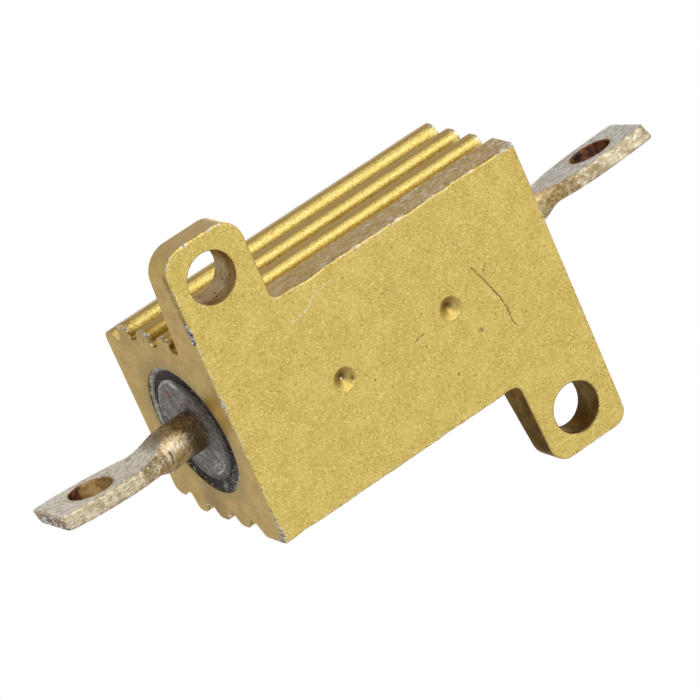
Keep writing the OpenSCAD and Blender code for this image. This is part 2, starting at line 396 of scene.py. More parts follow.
def terminal(name, side, e, dy, dz, twist, yaw, low, high, ramp_f, ramp_g, end_front, end_back, seed):
    """A round pin flattened into an eyelet blade, built on the +X side; side -1 mirrors it.
    low and high give the half widths of the blade along it, ramp_f and ramp_g where its front and back faces leave the pin."""
    R, T = 1.03, 0.4
    m, k = 12, 9
    xs = list(np.concatenate([[CAP_X - 0.02, CAP_X + 0.05, CAP_X + 0.12, CAP_X + 0.22], np.arange(CAP_X + 0.4, 10.3, 0.2), np.arange(10.3, 13.2, 0.075),
                              np.arange(13.2, e + 2.2, 0.16), np.arange(e + 2.2, e + 2.44, 0.08)]))
    xs += [e + 2.46, e + 2.5, e + 2.52]
    rings = []
    for x in xs:
        u = x - e
        t = smooth01((x - 10.5) / 1.9)
        q0 = min(1.0, max(0.0, (x - ramp_f[0]) / (ramp_f[1] - ramp_f[0])))
        f = R - 0.012 - (R - 0.012 - T) * q0 * (2 - q0)
        g = R - 0.012 - (R - 0.012 - T) * smooth01((x - ramp_g[0]) / (ramp_g[1] - ramp_g[0]))
        w = smooth01((x - 11.3) / 2.2)
        bl, bh = interp(u, low), interp(u, high)
        flare = 0.012 * max(0.0, 1 - (x - CAP_X) / 0.16) ** 2 if x < CAP_X + 0.16 else 0.0
        tip = smooth01((u - 2.40) / 0.12)      # the cut end is drawn in a little
        cy, cz = t * (dy + math.sin(math.radians(yaw)) * u), t * dz
        ry, rt = math.radians(yaw) * t, math.radians(twist) * t

        def edge(y, b):
            side_y = y / (R if w < 1 else R)
            circle = math.sqrt(max(0.0, 1 - min(1.0, abs(side_y)) ** 2))
            square = 1 - 0.055 / b * (abs(y) / T) ** 7 if abs(y) <= T * 1.02 else circle
            v = b * ((1 - w) * circle + w * square)
            return v * (1 - 0.05 * tip)

        def ys(a, b, cnt):
            return [a + (b - a) * (1 - math.cos(math.pi * i / cnt)) / 2 for i in range(cnt + 1)]

        ff, gg = f * (1 - 0.12 * tip) + flare, g * (1 - 0.12 * tip) + flare
        loop = [(y, edge(y, bh) + flare) for y in ys(gg, -ff, m)]
        z0, z1 = edge(-ff, bh) + flare, -edge(-ff, bl) - flare
        loop += [(-ff, z0 + (z1 - z0) * i / k) for i in range(1, k)]
        loop += [(y, -edge(y, bl) - flare) for y in ys(-ff, gg, m)]
        z0, z1 = -edge(gg, bl) - flare, edge(gg, bh) + flare
        loop += [(gg, z0 + (z1 - z0) * i / k) for i in range(1, k)]
        ring = []
        for y, z in loop:
            # the blade was cut off askew
            push = (end_front + (end_back - end_front) * (y + T) / (2 * T)) * smooth01((u - 0.9) / 1.6)
            c, s = math.cos(rt), math.sin(rt)
            py, pz = y * c - z * s, y * s + z * c
            px = -py * math.sin(ry) + push
            py = py * math.cos(ry)
            p = Vector((x + px, cy + py, AZ + cz + pz))
            a = 0.007 + 0.02 * smooth01((u - 2.2) / 0.3)
            if x > CAP_X + 0.3:
                q = rough(p, 2.6, seed)
                q2 = rough(p, 7.0, seed + 4)
                p += Vector((0.6 * q2 if u > 2.3 else 0.0, q, q2)) * a
            ring.append(p)
        rings.append(ring)
    o = obj_from(name, *loft(rings))
    # eyelet
    prof = [(1.08 + 0.07, -1.0), (1.08 + 0.07, -T - 0.005), (1.08 + 0.035, -T + 0.02), (1.08 + 0.01, -T + 0.055), (1.08, -T + 0.1), (1.08, 0.0)]
    prof += [(r, -a) for r, a in prof[:-1][::-1]]
    rr, n = [], 56
    ct, st = math.cos(math.radians(twist)), math.sin(math.radians(twist))
    cyw, syw = math.cos(math.radians(yaw)), math.sin(math.radians(yaw))
    for r, a in prof:
        ring = []
        for i in range(n):
            w = 2 * math.pi * i / n
            jit = 1 + 0.012 * noise.noise(Vector((math.cos(w) * 1.7, math.sin(w) * 1.7, a + seed)))
            lx, lz, ly = r * jit * math.cos(w), r * jit * math.sin(w), a
            py, pz = ly * ct - lz * st, ly * st + lz * ct
            ring.append((e + lx * cyw - py * syw, dy + lx * syw + py * cyw, AZ + dz + pz))
        rr.append(ring)
    boolean(o, obj_from("cut", *loft(rr), index=1), "DIFFERENCE")
    tidy(o)
    # rusty cut end
    for poly in o.data.polygons:
        cx = sum(o.data.vertices[v].co.x for v in poly.vertices) / len(poly.vertices)
        if side < 0 and cx > e + 2.47 + min(end_front, end_back) and abs(poly.normal.x) > 0.6:
            poly.material_index = 1
    if side < 0:
        o.data.transform(Matrix.Scale(-1, 4, Vector((1, 0, 0))))
        o.data.flip_normals()
    return o


# ---------------------------------------------------------------- caps and potting
def end_cap(name, side):
    """A pressed cup: flat scarred face, small rolled rim, open towards the middle."""
    n = 96
    prof = [(2.3, CAP_X - 0.9), (2.3, CAP_RIM), (CAP_R - 0.04, CAP_RIM), (CAP_R, CAP_RIM + 0.05), (CAP_R, CAP_X - 0.10), (CAP_R - 0.012, CAP_X - 0.05),
            (CAP_R - 0.045, CAP_X - 0.014), (CAP_R - 0.10, CAP_X - 0.002), (CAP_R - 0.19, CAP_X - 0.006), (CAP_R - 0.30, CAP_X - 0.018)]
    prof += [(r, CAP_X - 0.022) for r in (2.3, 2.05, 1.8, 1.55, 1.3, 1.1, 0.8, 0.4)]
    rings = []
    for j, (r, a) in enumerate(prof):
        ring = []
        for i in range(n):
            w = 2 * math.pi * i / n
            y, z = r * math.cos(w), r * math.sin(w)
            x = a
            if j > 5:
                x += 0.012 * rough((y * 0.9, z * 0.9, 3.0 * side), 1.0, 5.0) + 0.006 * rough((y * 3, z * 3, 1.0), 1.0, 9.0) - 0.004
                x = min(x, CAP_X)
            ring.append((x * side, y, AZ + z))
        rings.append(ring)
    verts, faces = loft(rings, caps=False)
    verts = list(verts)
    c0, c1 = len(verts), len(verts) + 1
    verts += [(side * (CAP_X - 0.022), 0, AZ), (side * (CAP_X - 0.9), 0, AZ)]
    last = (len(prof) - 1) * n
    faces += [(last + i, last + (i + 1) % n, c0) for i in range(n)]
    faces += [((i + 1) % n, i, c1) for i in range(n)]
    return obj_from(name, verts, faces)


def potting(name):
    """Filling between the bore and the caps, with uneven, crumbly ends."""
    n = 160
    out_r, in_r, void_r = BORE_R - 0.004, CAP_R + 0.004, 2.66
    prof = []
    for s in (-1, 1):
        w = out_r - in_r
        ends = [(in_r, -0.10), (in_r + 0.06 * w, -0.15), (in_r + 0.18 * w, -0.19), (in_r + 0.33 * w, -0.20), (in_r + 0.5 * w, -0.17),
                (in_r + 0.66 * w, -0.13), (in_r + 0.8 * w, -0.07), (in_r + 0.92 * w, -0.02), (out_r, -0.01)]
        if s < 0:
            prof += [(r, -(POT_X + a), 1) for r, a in ends]
        else:
            prof += [(r, POT_X + a, 1) for r, a in ends[::-1]]
    prof += [(in_r, CAP_RIM + 0.6, 0), (in_r, CAP_RIM - 0.02, 0), (void_r, CAP_RIM - 0.02, 0), (void_r, -CAP_RIM + 0.02, 0), (in_r, -CAP_RIM + 0.02, 0), (in_r, -CAP_RIM - 0.6, 0)]
    rings = []
    for r, a, loose in prof:
        ring = []
        for i in range(n):
            w = 2 * math.pi * i / n
            y, z = math.cos(w), math.sin(w)
            rr, x = r, a
            if loose:
                q = rough((y * r * 2, z * r * 2, 3.0), 0.8, 2.0) * 0.06 + rough((y * r, z * r, 7.0), 2.9, 6.0) * 0.05 + rough((y * r, z * r, 1.0), 6.5, 4.0) * 0.02
                x += q * (1 if a > 0 else -1)
                x = max(-POT_X - 0.0, min(POT_X + 0.0, x))
            ring.append((x, rr * y, AZ + rr * z))
        rings.append(ring)
    verts, faces = loft(rings, caps=False)
    k = len(prof) - 1
    faces += [(k * n + i, k * n + (i + 1) % n, (i + 1) % n, i) for i in range(n)]
    return obj_from(name, verts, faces)


# ---------------------------------------------------------------- node tools
class Nodes:
    """Short ways to build a material's node tree."""

    def __init__(self, name):
        self.mat = bpy.data.materials.new(name)
        self.mat.use_nodes = True
        self.nt = self.mat.node_tree
        self.nt.nodes.clear()
        self.out = self.add("ShaderNodeOutputMaterial")
        self.bsdf = self.add("ShaderNodeBsdfPrincipled")
        self.link(self.bsdf.outputs[0], self.out.inputs["Surface"])
        tc = self.add("ShaderNodeTexCoord")
        mp = self.add("ShaderNodeVectorMath", operation="SCALE")
        self.link(tc.outputs["Object"], mp.inputs[0])
        mp.inputs["Scale"].default_value = 1000.0
        self.p = mp.outputs[0]                      # place in mm
        sep = self.add("ShaderNodeSeparateXYZ")
        self.link(self.p, sep.inputs[0])
        self.x, self.y, self.z = sep.outputs
        geo = self.add("ShaderNodeNewGeometry")
        nsep = self.add("ShaderNodeSeparateXYZ")
        self.link(geo.outputs["True Normal"], nsep.inputs[0])
        self.nx, self.ny, self.nz = nsep.outputs

    def add(self, kind, **props):
        n = self.nt.nodes.new(kind)
        for k, v in props.items():
            setattr(n, k, v)
        return n

    def link(self, a, b):
        self.nt.links.new(a, b)

    def put(self, socket, v):
        if isinstance(v, bpy.types.NodeSocket):
            self.link(v, socket)
        elif v is not None:
            socket.default_value = v

    def m(self, op, a, b=None, c=None, clamp=False):
        n = self.add("ShaderNodeMath", operation=op, use_clamp=clamp)
        for s, v in zip(n.inputs, (a, b, c)):
            self.put(s, v)
        return n.outputs[0]

    def vec(self, x, y, z):
        n = self.add("ShaderNodeCombineXYZ")
        for s, v in zip(n.inputs, (x, y, z)):
            self.put(s, v)
        return n.outputs[0]

    def stretch(self, sx, sy, sz, off=(0, 0, 0)):
        n = self.add("ShaderNodeVectorMath", operation="MULTIPLY_ADD")
        self.link(self.p, n.inputs[0])
        n.inputs[1].default_value = (sx, sy, sz)
        n.inputs[2].default_value = off
        return n.outputs[0]

    def noise(self, scale=1.0, detail=2.0, rough_=0.5, vec=None, distort=0.0, off=None):
        v = vec if vec is not None else self.p
        if off is not None:
            a = self.add("ShaderNodeVectorMath", operation="ADD")
            self.link(v, a.inputs[0])
            a.inputs[1].default_value = off
            v = a.outputs[0]
        n = self.add("ShaderNodeTexNoise")
        self.link(v, n.inputs["Vector"])
        n.inputs["Scale"].default_value = scale
        n.inputs["Detail"].default_value = detail
        n.inputs["Roughness"].default_value = rough_
        n.inputs["Distortion"].default_value = distort
        return n.outputs["Fac"]

    def cells(self, scale=1.0, vec=None, feature="F1", rand=1.0):
        n = self.add("ShaderNodeTexVoronoi", feature=feature)
        self.link(vec if vec is not None else self.p, n.inputs["Vector"])
        n.inputs["Scale"].default_value = scale
        n.inputs["Randomness"].default_value = rand
        return n

    def dot(self, d, vec=None):
        n = self.add("ShaderNodeVectorMath", operation="DOT_PRODUCT")
        self.link(vec if vec is not None else self.p, n.inputs[0])
        n.inputs[1].default_value = d
        return n.outputs["Value"]

    def strokes(self, angle, along, across, off):
        """Noise drawn out into short strokes at an angle in the XY plane."""
        c, s = math.cos(angle), math.sin(angle)
        v = self.vec(self.dot((c * along, s * along, 0)), self.dot((-s * across, c * across, 0)), self.dot((0, 0, across)))
        return self.noise(1.0, 2.0, 0.55, vec=v, off=off)

    def span(self, v, a, b, lo=0.0, hi=1.0, smooth=True):
        """v between a and b becomes lo to hi, clamped."""
        n = self.add("ShaderNodeMapRange", interpolation_type="SMOOTHSTEP" if smooth else "LINEAR")
        self.put(n.inputs["Value"], v)
        for name, x in (("From Min", a), ("From Max", b), ("To Min", lo), ("To Max", hi)):
            self.put(n.inputs[name], x)
        return n.outputs[0]

    def mix(self, f, a, b, mode="MIX"):
        n = self.add("ShaderNodeMix", data_type="RGBA", blend_type=mode)
        self.put(n.inputs[0], f)
        for s, v in ((n.inputs[6], a), (n.inputs[7], b)):
            self.put(s, (*v, 1.0) if isinstance(v, tuple) and len(v) == 3 else v)
        return n.outputs[2]

    def mixf(self, f, a, b):
        n = self.add("ShaderNodeMix", data_type="FLOAT")
        self.put(n.inputs[0], f)
        self.put(n.inputs[2], a)
        self.put(n.inputs[3], b)
        return n.outputs[0]

    def times(self, *vs):
        out = vs[0]
        for v in vs[1:]:
            out = self.m("MULTIPLY", out, v)
        return out

    def most(self, *vs):
        out = vs[0]
        for v in vs[1:]:
            out = self.m("MAXIMUM", out, v)
        return out

    def dist(self, place, vec=None):
        n = self.add("ShaderNodeVectorMath", operation="DISTANCE")
        self.link(vec if vec is not None else self.p, n.inputs[0])
        n.inputs[1].default_value = place
        return n.outputs["Value"]

    def blot(self, place, r, edge=0.5, wob=None, sq=(1, 1, 1)):
        """1 inside a ragged spot of radius r at a place in mm, 0 outside."""
        v = self.p
        a = self.add("ShaderNodeVectorMath", operation="SUBTRACT")
        self.link(v, a.inputs[0])
        a.inputs[1].default_value = place
        b = self.add("ShaderNodeVectorMath", operation="MULTIPLY")
        self.link(a.outputs[0], b.inputs[0])
        b.inputs[1].default_value = tuple(1 / s for s in sq)
        c = self.add("ShaderNodeVectorMath", operation="LENGTH")
        self.link(b.outputs[0], c.inputs[0])
        d = c.outputs["Value"]
        if wob is not None:
            d = self.m("ADD", d, self.m("MULTIPLY", self.m("SUBTRACT", wob, 0.5), 2.0 * r))
        return self.span(d, r, r * (1 - edge), 0.0, 1.0)

    def line(self, a, b, width, wob=None, amp=0.0):
        """1 on a fine line between two places in mm."""
        a, b = Vector(a), Vector(b)
        ab = b - a
        s = self.add("ShaderNodeVectorMath", operation="SUBTRACT")
        self.link(self.p, s.inputs[0])
        s.inputs[1].default_value = a
        v = s.outputs[0]
        if wob is not None:
            k = self.add("ShaderNodeVectorMath", operation="SCALE")
            k.inputs[0].default_value = Vector((-ab.y, ab.x, 0)).normalized()
            self.link(self.m("MULTIPLY", self.m("SUBTRACT", wob, 0.5), amp), k.inputs["Scale"])
            j = self.add("ShaderNodeVectorMath", operation="ADD")
            self.link(v, j.inputs[0])
            self.link(k.outputs[0], j.inputs[1])
            v = j.outputs[0]
        d = self.add("ShaderNodeVectorMath", operation="DOT_PRODUCT")
        self.link(v, d.inputs[0])
        d.inputs[1].default_value = ab / ab.length_squared
        t = self.m("ADD", d.outputs["Value"], 0.0, clamp=True)
        pr = self.add("ShaderNodeVectorMath", operation="SCALE")
        pr.inputs[0].default_value = ab
        self.link(t, pr.inputs["Scale"])
        q = self.add("ShaderNodeVectorMath", operation="DISTANCE")
        self.link(v, q.inputs[0])
        self.link(pr.outputs[0], q.inputs[1])
        return self.span(q.outputs["Value"], width, width * 0.35, 0.0, 1.0)

    def bump(self, height, strength, depth_mm, normal=None):
        n = self.add("ShaderNodeBump")
        self.put(n.inputs["Height"], height)
        n.inputs["Strength"].default_value = strength
        n.inputs["Distance"].default_value = depth_mm * 0.001
        if normal is not None:
            self.link(normal, n.inputs["Normal"])
        return n.outputs["Normal"]

    def shader(self, color=None, metallic=None, roughness=None, normal=None, **fixed):
        b = self.bsdf.inputs
        self.put(b["Base Color"], (*color, 1.0) if isinstance(color, tuple) and len(color) == 3 else color)
        self.put(b["Metallic"], metallic)
        self.put(b["Roughness"], roughness)
        if normal is not None:
            self.link(normal, b["Normal"])
        for k, v in fixed.items():
            b[k.replace("_", " ")].default_value = v
        return self.mat


# place (mm), radius, stretch of the knocks that went through to bare metal
SPOTS = [
    ((-9.42, -6.1, 0.08), 0.42, (0.5, 1.3, 0.7)), ((-9.42, -2.29, 0.05), 0.33, (0.6, 1, 0.8)), ((-9.42, -1.76, 0.04), 0.19, (0.6, 1.2, 0.7)), ((-9.42, -1.16, 0.04), 0.15, (0.6, 1.2, 0.7)),
    ((-9.40, 5.2, 0.2), 0.38, (0.7, 0.9, 1.2)), ((-9.40, 4.8, 0.05), 0.30, (0.7, 1.3, 0.8)), ((-9.41, 4.4, 0.06), 0.26, (0.6, 1.4, 0.7)), ((-9.41, 3.9, 0.05), 0.19, (0.6, 1.4, 0.7)), ((-9.41, 3.4, 0.04), 0.14, (0.6, 1.4, 0.7)), ((9.3, -5.3, 0.08), 0.34, (1.1, 0.6, 0.7)),
    ((8.85, -5.3, 0.03), 0.30, (1.6, 0.6, 0.6)), ((8.2, -5.33, 0.03), 0.16, (1.6, 0.5, 0.6)), ((2.05, -5.33, 0.03), 0.17, (1.6, 0.6, 0.7)), ((1.5, -5.33, 0.03), 0.13, (1.3, 0.6, 0.7)),
    ((4.10, -5.33, 0.03), 0.20, (1.8, 0.5, 0.6)), ((-9.12, -9.55, 0.03), 0.12, (0.9, 1.2, 0.6)), ((-8.75, -9.93, 0.03), 0.12, (1.5, 0.7, 0.6)),
    ((-7.9, -10.02, 0.03), 0.11, (1.4, 0.6, 0.6)), ((-6.45, -9.98, 0.03), 0.09, (1.5, 0.6, 0.6)), ((-5.92, -9.98, 0.03), 0.09, (1.6, 0.6, 0.6)), ((9.38, 9.18, 0.06), 0.20, (0.6, 1, 0.8)), ((9.40, 3.81, 0.03), 0.15, (0.6, 1.1, 0.7)),
    ((-2.6, 5.3, 0.1), 0.2, (1.6, 0.6, 0.6)), ((9.3, -5.1, 7.2), 0.2, (1.0, 0.8, 0.6)),
    ((-9.38, -5.15, 7.05), 0.16, (0.7, 1, 0.7)), ((-9.38, -5.15, 5.1), 0.15, (0.7, 1, 0.7)), ((-9.38, -5.15, 3.2), 0.13, (0.7, 1, 0.7)),
]
# dark specks on the foot: place, radius
SPECKS = [((4.10, 1.82, 0), 0.10), ((2.11, 3.05, 0), 0.10), ((-1.93, 0.90, 0), 0.09), ((0.85, 0.40, 0), 0.08), ((1.22, 0.34, 0), 0.06), ((1.16, 0.96, 0), 0.07), ((-2.24, -1.12, 0), 0.06), ((-6.2, -6.3, 0), 0.06)]


def gold_material():
    k = Nodes("gold_anodised")
    # where we are
    down = k.span(k.nz, -0.25, -0.7)
    foot = k.times(k.span(k.z, 0.34, 0.08), down)                     # the tumbled mounting face
    ay = k.m("ABSOLUTE", k.y)
    grooves = k.times(k.span(k.z, 2.1, 2.4), k.span(ay, 3.95, 4.25))  # ridges and grooves
    endf = k.span(k.m("ABSOLUTE", k.nx), 0.7, 0.95)                   # cut ends
    side_y = k.span(k.m("ABSOLUTE", k.ny), 0.6, 0.9)                  # faces that look sideways
    strip = k.times(side_y, k.span(k.z, 2.0, 1.8))
    # tumbling marks: short strokes in many directions
    s1, s2, s3 = k.strokes(0.6, 3.8, 10.6, (1, 2, 3)), k.strokes(2.2, 4.0, 10.2, (7, 1, 4)), k.strokes(1.35, 4.8, 9.8, (3, 9, 2))
    g1 = k.noise(11.0, 2.0, 0.6, off=(4, 4, 4))
    g2 = k.noise(1.15, 4.0, 0.62, off=(9, 2, 4))
    light = k.most(k.span(s1, 0.56, 0.74), k.span(s2, 0.57, 0.74), k.span(s3, 0.58, 0.76))
    darks = k.most(k.span(s1, 0.42, 0.25), k.span(s2, 0.41, 0.25), k.span(s3, 0.40, 0.25))
    base = k.mix(k.span(g2, 0.36, 0.64), (0.572, 0.418, 0.099), (0.645, 0.486, 0.130))
    base = k.mix(k.times(darks, k.mixf(foot, 0.22, 0.66)), base, (0.28, 0.19, 0.030))
    base = k.mix(k.times(light, k.mixf(foot, 0.18, 0.58)), base, (0.90, 0.76, 0.29))
    base = k.mix(k.times(k.span(g1, 0.58, 0.70), k.mixf(foot, 0.15, 0.48)), base, (0.98, 0.86, 0.42))
    base = k.mix(k.times(k.span(g1, 0.42, 0.30), k.mixf(foot, 0.15, 0.48)), base, (0.26, 0.18, 0.04))
    # small dark pits, on the foot
    pits = k.cells(1.5)
    pit = k.times(k.span(pits.outputs["Distance"], 0.11, 0.06), foot, k.span(k.noise(0.8, 1.0, 0.5, off=(1, 8, 2)), 0.50, 0.60))
    base = k.mix(k.m("MULTIPLY", pit, 0.6), base, (0.10, 0.085, 0.06))
    # cut faces and sides are a little browner
    base = k.mix(k.m("MULTIPLY", endf, 0.8), base, k.mix(k.span(g2, 0.36, 0.64), (0.55, 0.355, 0.095), (0.68, 0.475, 0.150)))
    lie = k.noise(1.0, 5.0, 0.68, vec=k.stretch(1.9, 2.0, 2.4, (3, 1, 7)), distort=0.6)
    base = k.mix(k.m("MULTIPLY", side_y, 0.9), base, k.mix(k.span(lie, 0.34, 0.66), (0.41, 0.262, 0.065), (0.62, 0.435, 0.185)))
    lie2 = k.noise(1.0, 4.0, 0.7, vec=k.stretch(4.2, 4.0, 5.6, (6, 2, 1)), distort=0.5)
    base = k.mix(k.times(strip, k.span(lie2, 0.47, 0.36), 0.50), base, (0.27, 0.165, 0.050))
    base = k.mix(k.times(strip, k.span(lie2, 0.55, 0.68), 0.42), base, (0.74, 0.62, 0.47))
    base = k.mix(k.times(side_y, k.span(ay, 9.0, 9.6), 0.6), base, (0.60, 0.415, 0.160))
    base = k.mix(k.times(side_y, grooves, 0.7), base, (0.47, 0.295, 0.045))
    # painted shade: the inner side of the right lug is darker away from the foot
    inner = k.times(k.span(k.nx, -0.6, -0.9), k.span(k.y, 5.25, 5.5), k.span(k.x, 0.0, 2.0), k.span(k.z, 0.1, 0.9))
    base = k.mix(k.m("MULTIPLY", inner, 0.92), base, k.mix(k.span(lie, 0.36, 0.62), (0.085, 0.048, 0.008), (0.20, 0.125, 0.030)))
    # ridges: drawn mottling
    mott = k.noise(1.0, 4.0, 0.65, vec=k.stretch(9.0, 13.0, 13.0, (3, 1, 7)))
    base = k.mix(k.times(grooves, k.span(k.nz, -0.1, -0.5), 0.8), base, k.mix(k.span(mott, 0.38, 0.62), (0.52, 0.375, 0.080), (0.82, 0.67, 0.245)))
    dots = k.times(grooves, k.span(g1, 0.44, 0.34), 0.75)
    base = k.mix(dots, base, (0.34, 0.23, 0.04))
    # painted shade: the grooves darken at the left end's notches, and in amber on the lower ridges beside the left lug
    ends = k.times(k.span(k.z, 2.2, 2.6), k.span(k.z, 8.4, 8.1), k.span(ay, 4.1, 4.4), k.span(ay, 5.4, 5.2), k.span(k.m("ADD", k.x, k.m("MULTIPLY", k.m("SUBTRACT", mott, 0.5), 1.5)), -8.6, -9.3), k.m("SUBTRACT", 1.0, endf))
    base = k.mix(k.m("MULTIPLY", ends, 0.65), base, (0.27, 0.155, 0.015))
    amber = k.times(grooves, k.span(k.z, 6.6, 5.4), k.span(k.m("ADD", k.x, k.m("MULTIPLY", k.m("SUBTRACT", mott, 0.5), 1.2)), -6.6, -8.4), k.span(k.y, 0.0, -1.0), k.m("SUBTRACT", 1.0, endf))
    base = k.mix(k.m("MULTIPLY", amber, 0.55), base, (0.36, 0.215, 0.022))
    # painted highlight: a thin pale line along the top ridge's outer edge
    thin = k.times(k.span(k.m("ABSOLUTE", k.m("SUBTRACT", k.z, 7.66)), 0.13, 0.07), k.span(ay, 5.0, 5.14), k.span(mott, 0.30, 0.42))
    base = k.mix(k.m("MULTIPLY", thin, 0.75), base, (0.86, 0.76, 0.58))
    rough_ = k.mixf(foot, k.mixf(grooves, 0.36, 0.42), 0.42)
    rough_ = k.m("ADD", rough_, k.m("MULTIPLY", k.m("SUBTRACT", g1, 0.5), 0.25))
    h = k.m("ADD", k.m("ADD", s1, s2), k.m("ADD", s3, g1))
    n = k.bump(k.times(h, k.mixf(foot, 0.3, 1.0)), 0.5, 0.016)
    n = k.bump(k.times(lie, strip), 0.6, 0.12, n)
    n = k.bump(k.times(lie2, strip), 0.4, 0.05, n)
    n = k.bump(k.times(mott, grooves), 0.4, 0.02, n)
    return k, base, rough_, n, lie


def bare_colors(k):
    g = k.noise(8.0, 3.0, 0.65, off=(2, 2, 2))
    return k.mix(k.span(g, 0.36, 0.62), (0.105, 0.100, 0.098), (0.80, 0.79, 0.78))


def finish_gold():
    k, base, rough_, n, lie = gold_material()
    wob = k.noise(6.0, 4.0, 0.65, off=(4, 4, 9))
    flake = k.noise(4.6, 4.0, 0.7, off=(7, 1, 3))
    amount = k.noise(0.6, 2.0, 0.5, off=(3, 6, 1))
    push = k.m("MULTIPLY", k.m("SUBTRACT", amount, 0.5), 0.5)
    # rubbed edges of the foot: a thin pale line, here and there through to bare metal
    low = k.span(k.z, 0.26, 0.08)
    rim_x = k.span(k.m("ABSOLUTE", k.m("SUBTRACT", k.m("ABSOLUTE", k.x), HL - 0.05)), 0.17, 0.05)
    rim_y = k.span(k.m("ABSOLUTE", k.m("SUBTRACT", k.m("ABSOLUTE", k.y), HW - 0.06)), 0.17, 0.05)
    free = k.span(k.m("MULTIPLY", k.x, k.span(k.y, -1.0, 1.0, -1.0, 1.0)), 4.9, 4.6)
    rim_y = k.times(rim_y, free)
    rim_l = k.span(k.m("ABSOLUTE", k.m("SUBTRACT", k.m("ABSOLUTE", k.y), LUG_OUT - 0.07)), 0.19, 0.05)
    rim = k.times(k.most(rim_x, rim_y, rim_l), low)
    pale = k.times(rim, k.span(k.m("ADD", flake, push), 0.50, 0.62))
    base = k.mix(k.m("MULTIPLY", pale, 0.50), base, (0.76, 0.65, 0.38))
    worn = k.times(rim, k.span(k.m("ADD", flake, push), 0.66, 0.70))
    round_ = k.times(rim_y, k.span(k.z, 0.015, 0.04), k.span(k.z, 0.20, 0.10))
    base = k.mix(k.times(round_, k.mixf(k.span(k.noise(5.5, 3.0, 0.7, off=(3, 3, 8)), 0.42, 0.58), 0.35, 0.9)), base, (0.33, 0.225, 0.085))
    # a brown line beside the left end's edge, and hollows in the rim
    base = k.mix(k.times(k.span(k.m("ABSOLUTE", k.m("ADD", k.x, HL - 0.02)), 0.09, 0.03), k.span(k.z, 0.40, 0.25), k.span(k.y, -5.4, -5.8), k.span(flake, 0.40, 0.52), 0.7), base, (0.20, 0.125, 0.02))
    base = k.mix(k.times(rim, k.span(flake, 0.45, 0.37), 0.7), base, (0.27, 0.18, 0.05))
    # places that took harder knocks
    spots = SPOTS
    knocks = k.most(*[k.blot(p, r, 0.35, wob, sq) for p, r, sq in spots])
    knocks = k.times(knocks, k.span(k.noise(7.5, 3.0, 0.7, off=(1, 1, 8)), 0.44, 0.54))
    bare = k.most(worn, knocks)
    base = k.mix(bare, base, bare_colors(k))
    # a dark hair line and a pale zigzag on the foot, specks
    w2 = k.noise(5.0, 2.0, 0.5, off=(6, 0, 2))
    crack = [((4.85, -1.15, 0), (5.22, -0.27, 0)), ((5.22, -0.27, 0), (5.63, 0.93, 0)), ((5.63, 0.93, 0), (5.78, 1.60, 0)), ((5.30, -0.55, 0), (5.62, -0.95, 0)), ((5.78, 1.60, 0), (5.74, 2.26, 0)), ((5.74, 2.26, 0), (5.87, 2.60, 0))]
    dark = k.most(*[k.line(a, b, w, w2, 0.16) for (a, b), w in zip(crack, (0.040, 0.058, 0.042, 0.034, 0.046, 0.040))])
    dark = k.m("MULTIPLY", dark, k.span(w2, 0.27, 0.44))
    base = k.mix(k.m("MULTIPLY", dark, 0.8), base, (0.12, 0.075, 0.02))
    marks = k.most(*[k.line(a, b, 0.040, w2, 0.10) for a, b in (((0.76, 0.39, 0), (1.24, 0.29, 0)), ((3.91, 1.68, 0), (4.12, 1.70, 0)), ((4.08, 1.66, 0), (4.16, 1.98, 0)), ((0.08, -2.56, 0), (0.39, -2.58, 0)))])
    base = k.mix(k.m("MULTIPLY", marks, 0.6), base, (0.13, 0.10, 0.045))
    faint = k.most(k.line((0.53, -2.50, 0), (0.80, -2.20, 0), 0.05, w2, 0.1), k.line((0.80, -2.20, 0), (1.09, -1.28, 0), 0.05, w2, 0.1))
    base = k.mix(k.times(faint, k.span(w2, 0.40, 0.55), 0.45), base, (0.34, 0.27, 0.14))
    specks = k.most(*[k.blot(p, r, 0.6, wob) for p, r in SPECKS])
    base = k.mix(k.m("MULTIPLY", specks, 0.65), base, (0.13, 0.10, 0.045))
    zig = k.most(k.line((-4.54, -3.84, 0), (-3.62, -4.02, 0), 0.055, w2, 0.3), k.line((-3.62, -4.02, 0), (-2.95, -4.45, 0), 0.05, w2, 0.3),
                 k.line((-2.95, -4.45, 0), (-1.97, -4.61, 0), 0.03, w2, 0.3), k.line((-4.60, -3.80, 0), (-4.50, -3.86, 0), 0.06, w2, 0.3))
    zig = k.m("MULTIPLY", zig, k.span(w2, 0.36, 0.52))
    long_ = k.m("MULTIPLY", k.line((5.17, 9.06, 0), (9.04, 9.26, 0), 0.045, w2, 0.12), k.span(w2, 0.36, 0.50))
    base = k.mix(k.m("MULTIPLY", long_, 0.5), base, (0.86, 0.73, 0.30))
    rubbed = k.most(k.line((-9.20, -9.50, 0.02), (-8.96, -9.77, 0.02), 0.13, w2, 0.2), k.line((-8.96, -9.77, 0.02), (-8.62, -9.93, 0.02), 0.11, w2, 0.2), k.line((-8.05, -10.0, 0.02), (-7.72, -10.0, 0.02), 0.09, w2, 0.2), k.line((-6.60, -9.97, 0.02), (-6.35, -9.97, 0.02), 0.06, w2, 0.2), k.line((-6.0, -9.97, 0.02), (-5.8, -9.97, 0.02), 0.06, w2, 0.2))
    base = k.mix(k.times(rubbed, k.span(wob, 0.47, 0.55), 0.7), base, (0.82, 0.78, 0.64))
    base = k.mix(k.times(rubbed, k.span(wob, 0.44, 0.37), 0.6), base, (0.20, 0.14, 0.05))
    base = k.mix(k.m("MULTIPLY", zig, 0.55), base, (0.80, 0.76, 0.58))
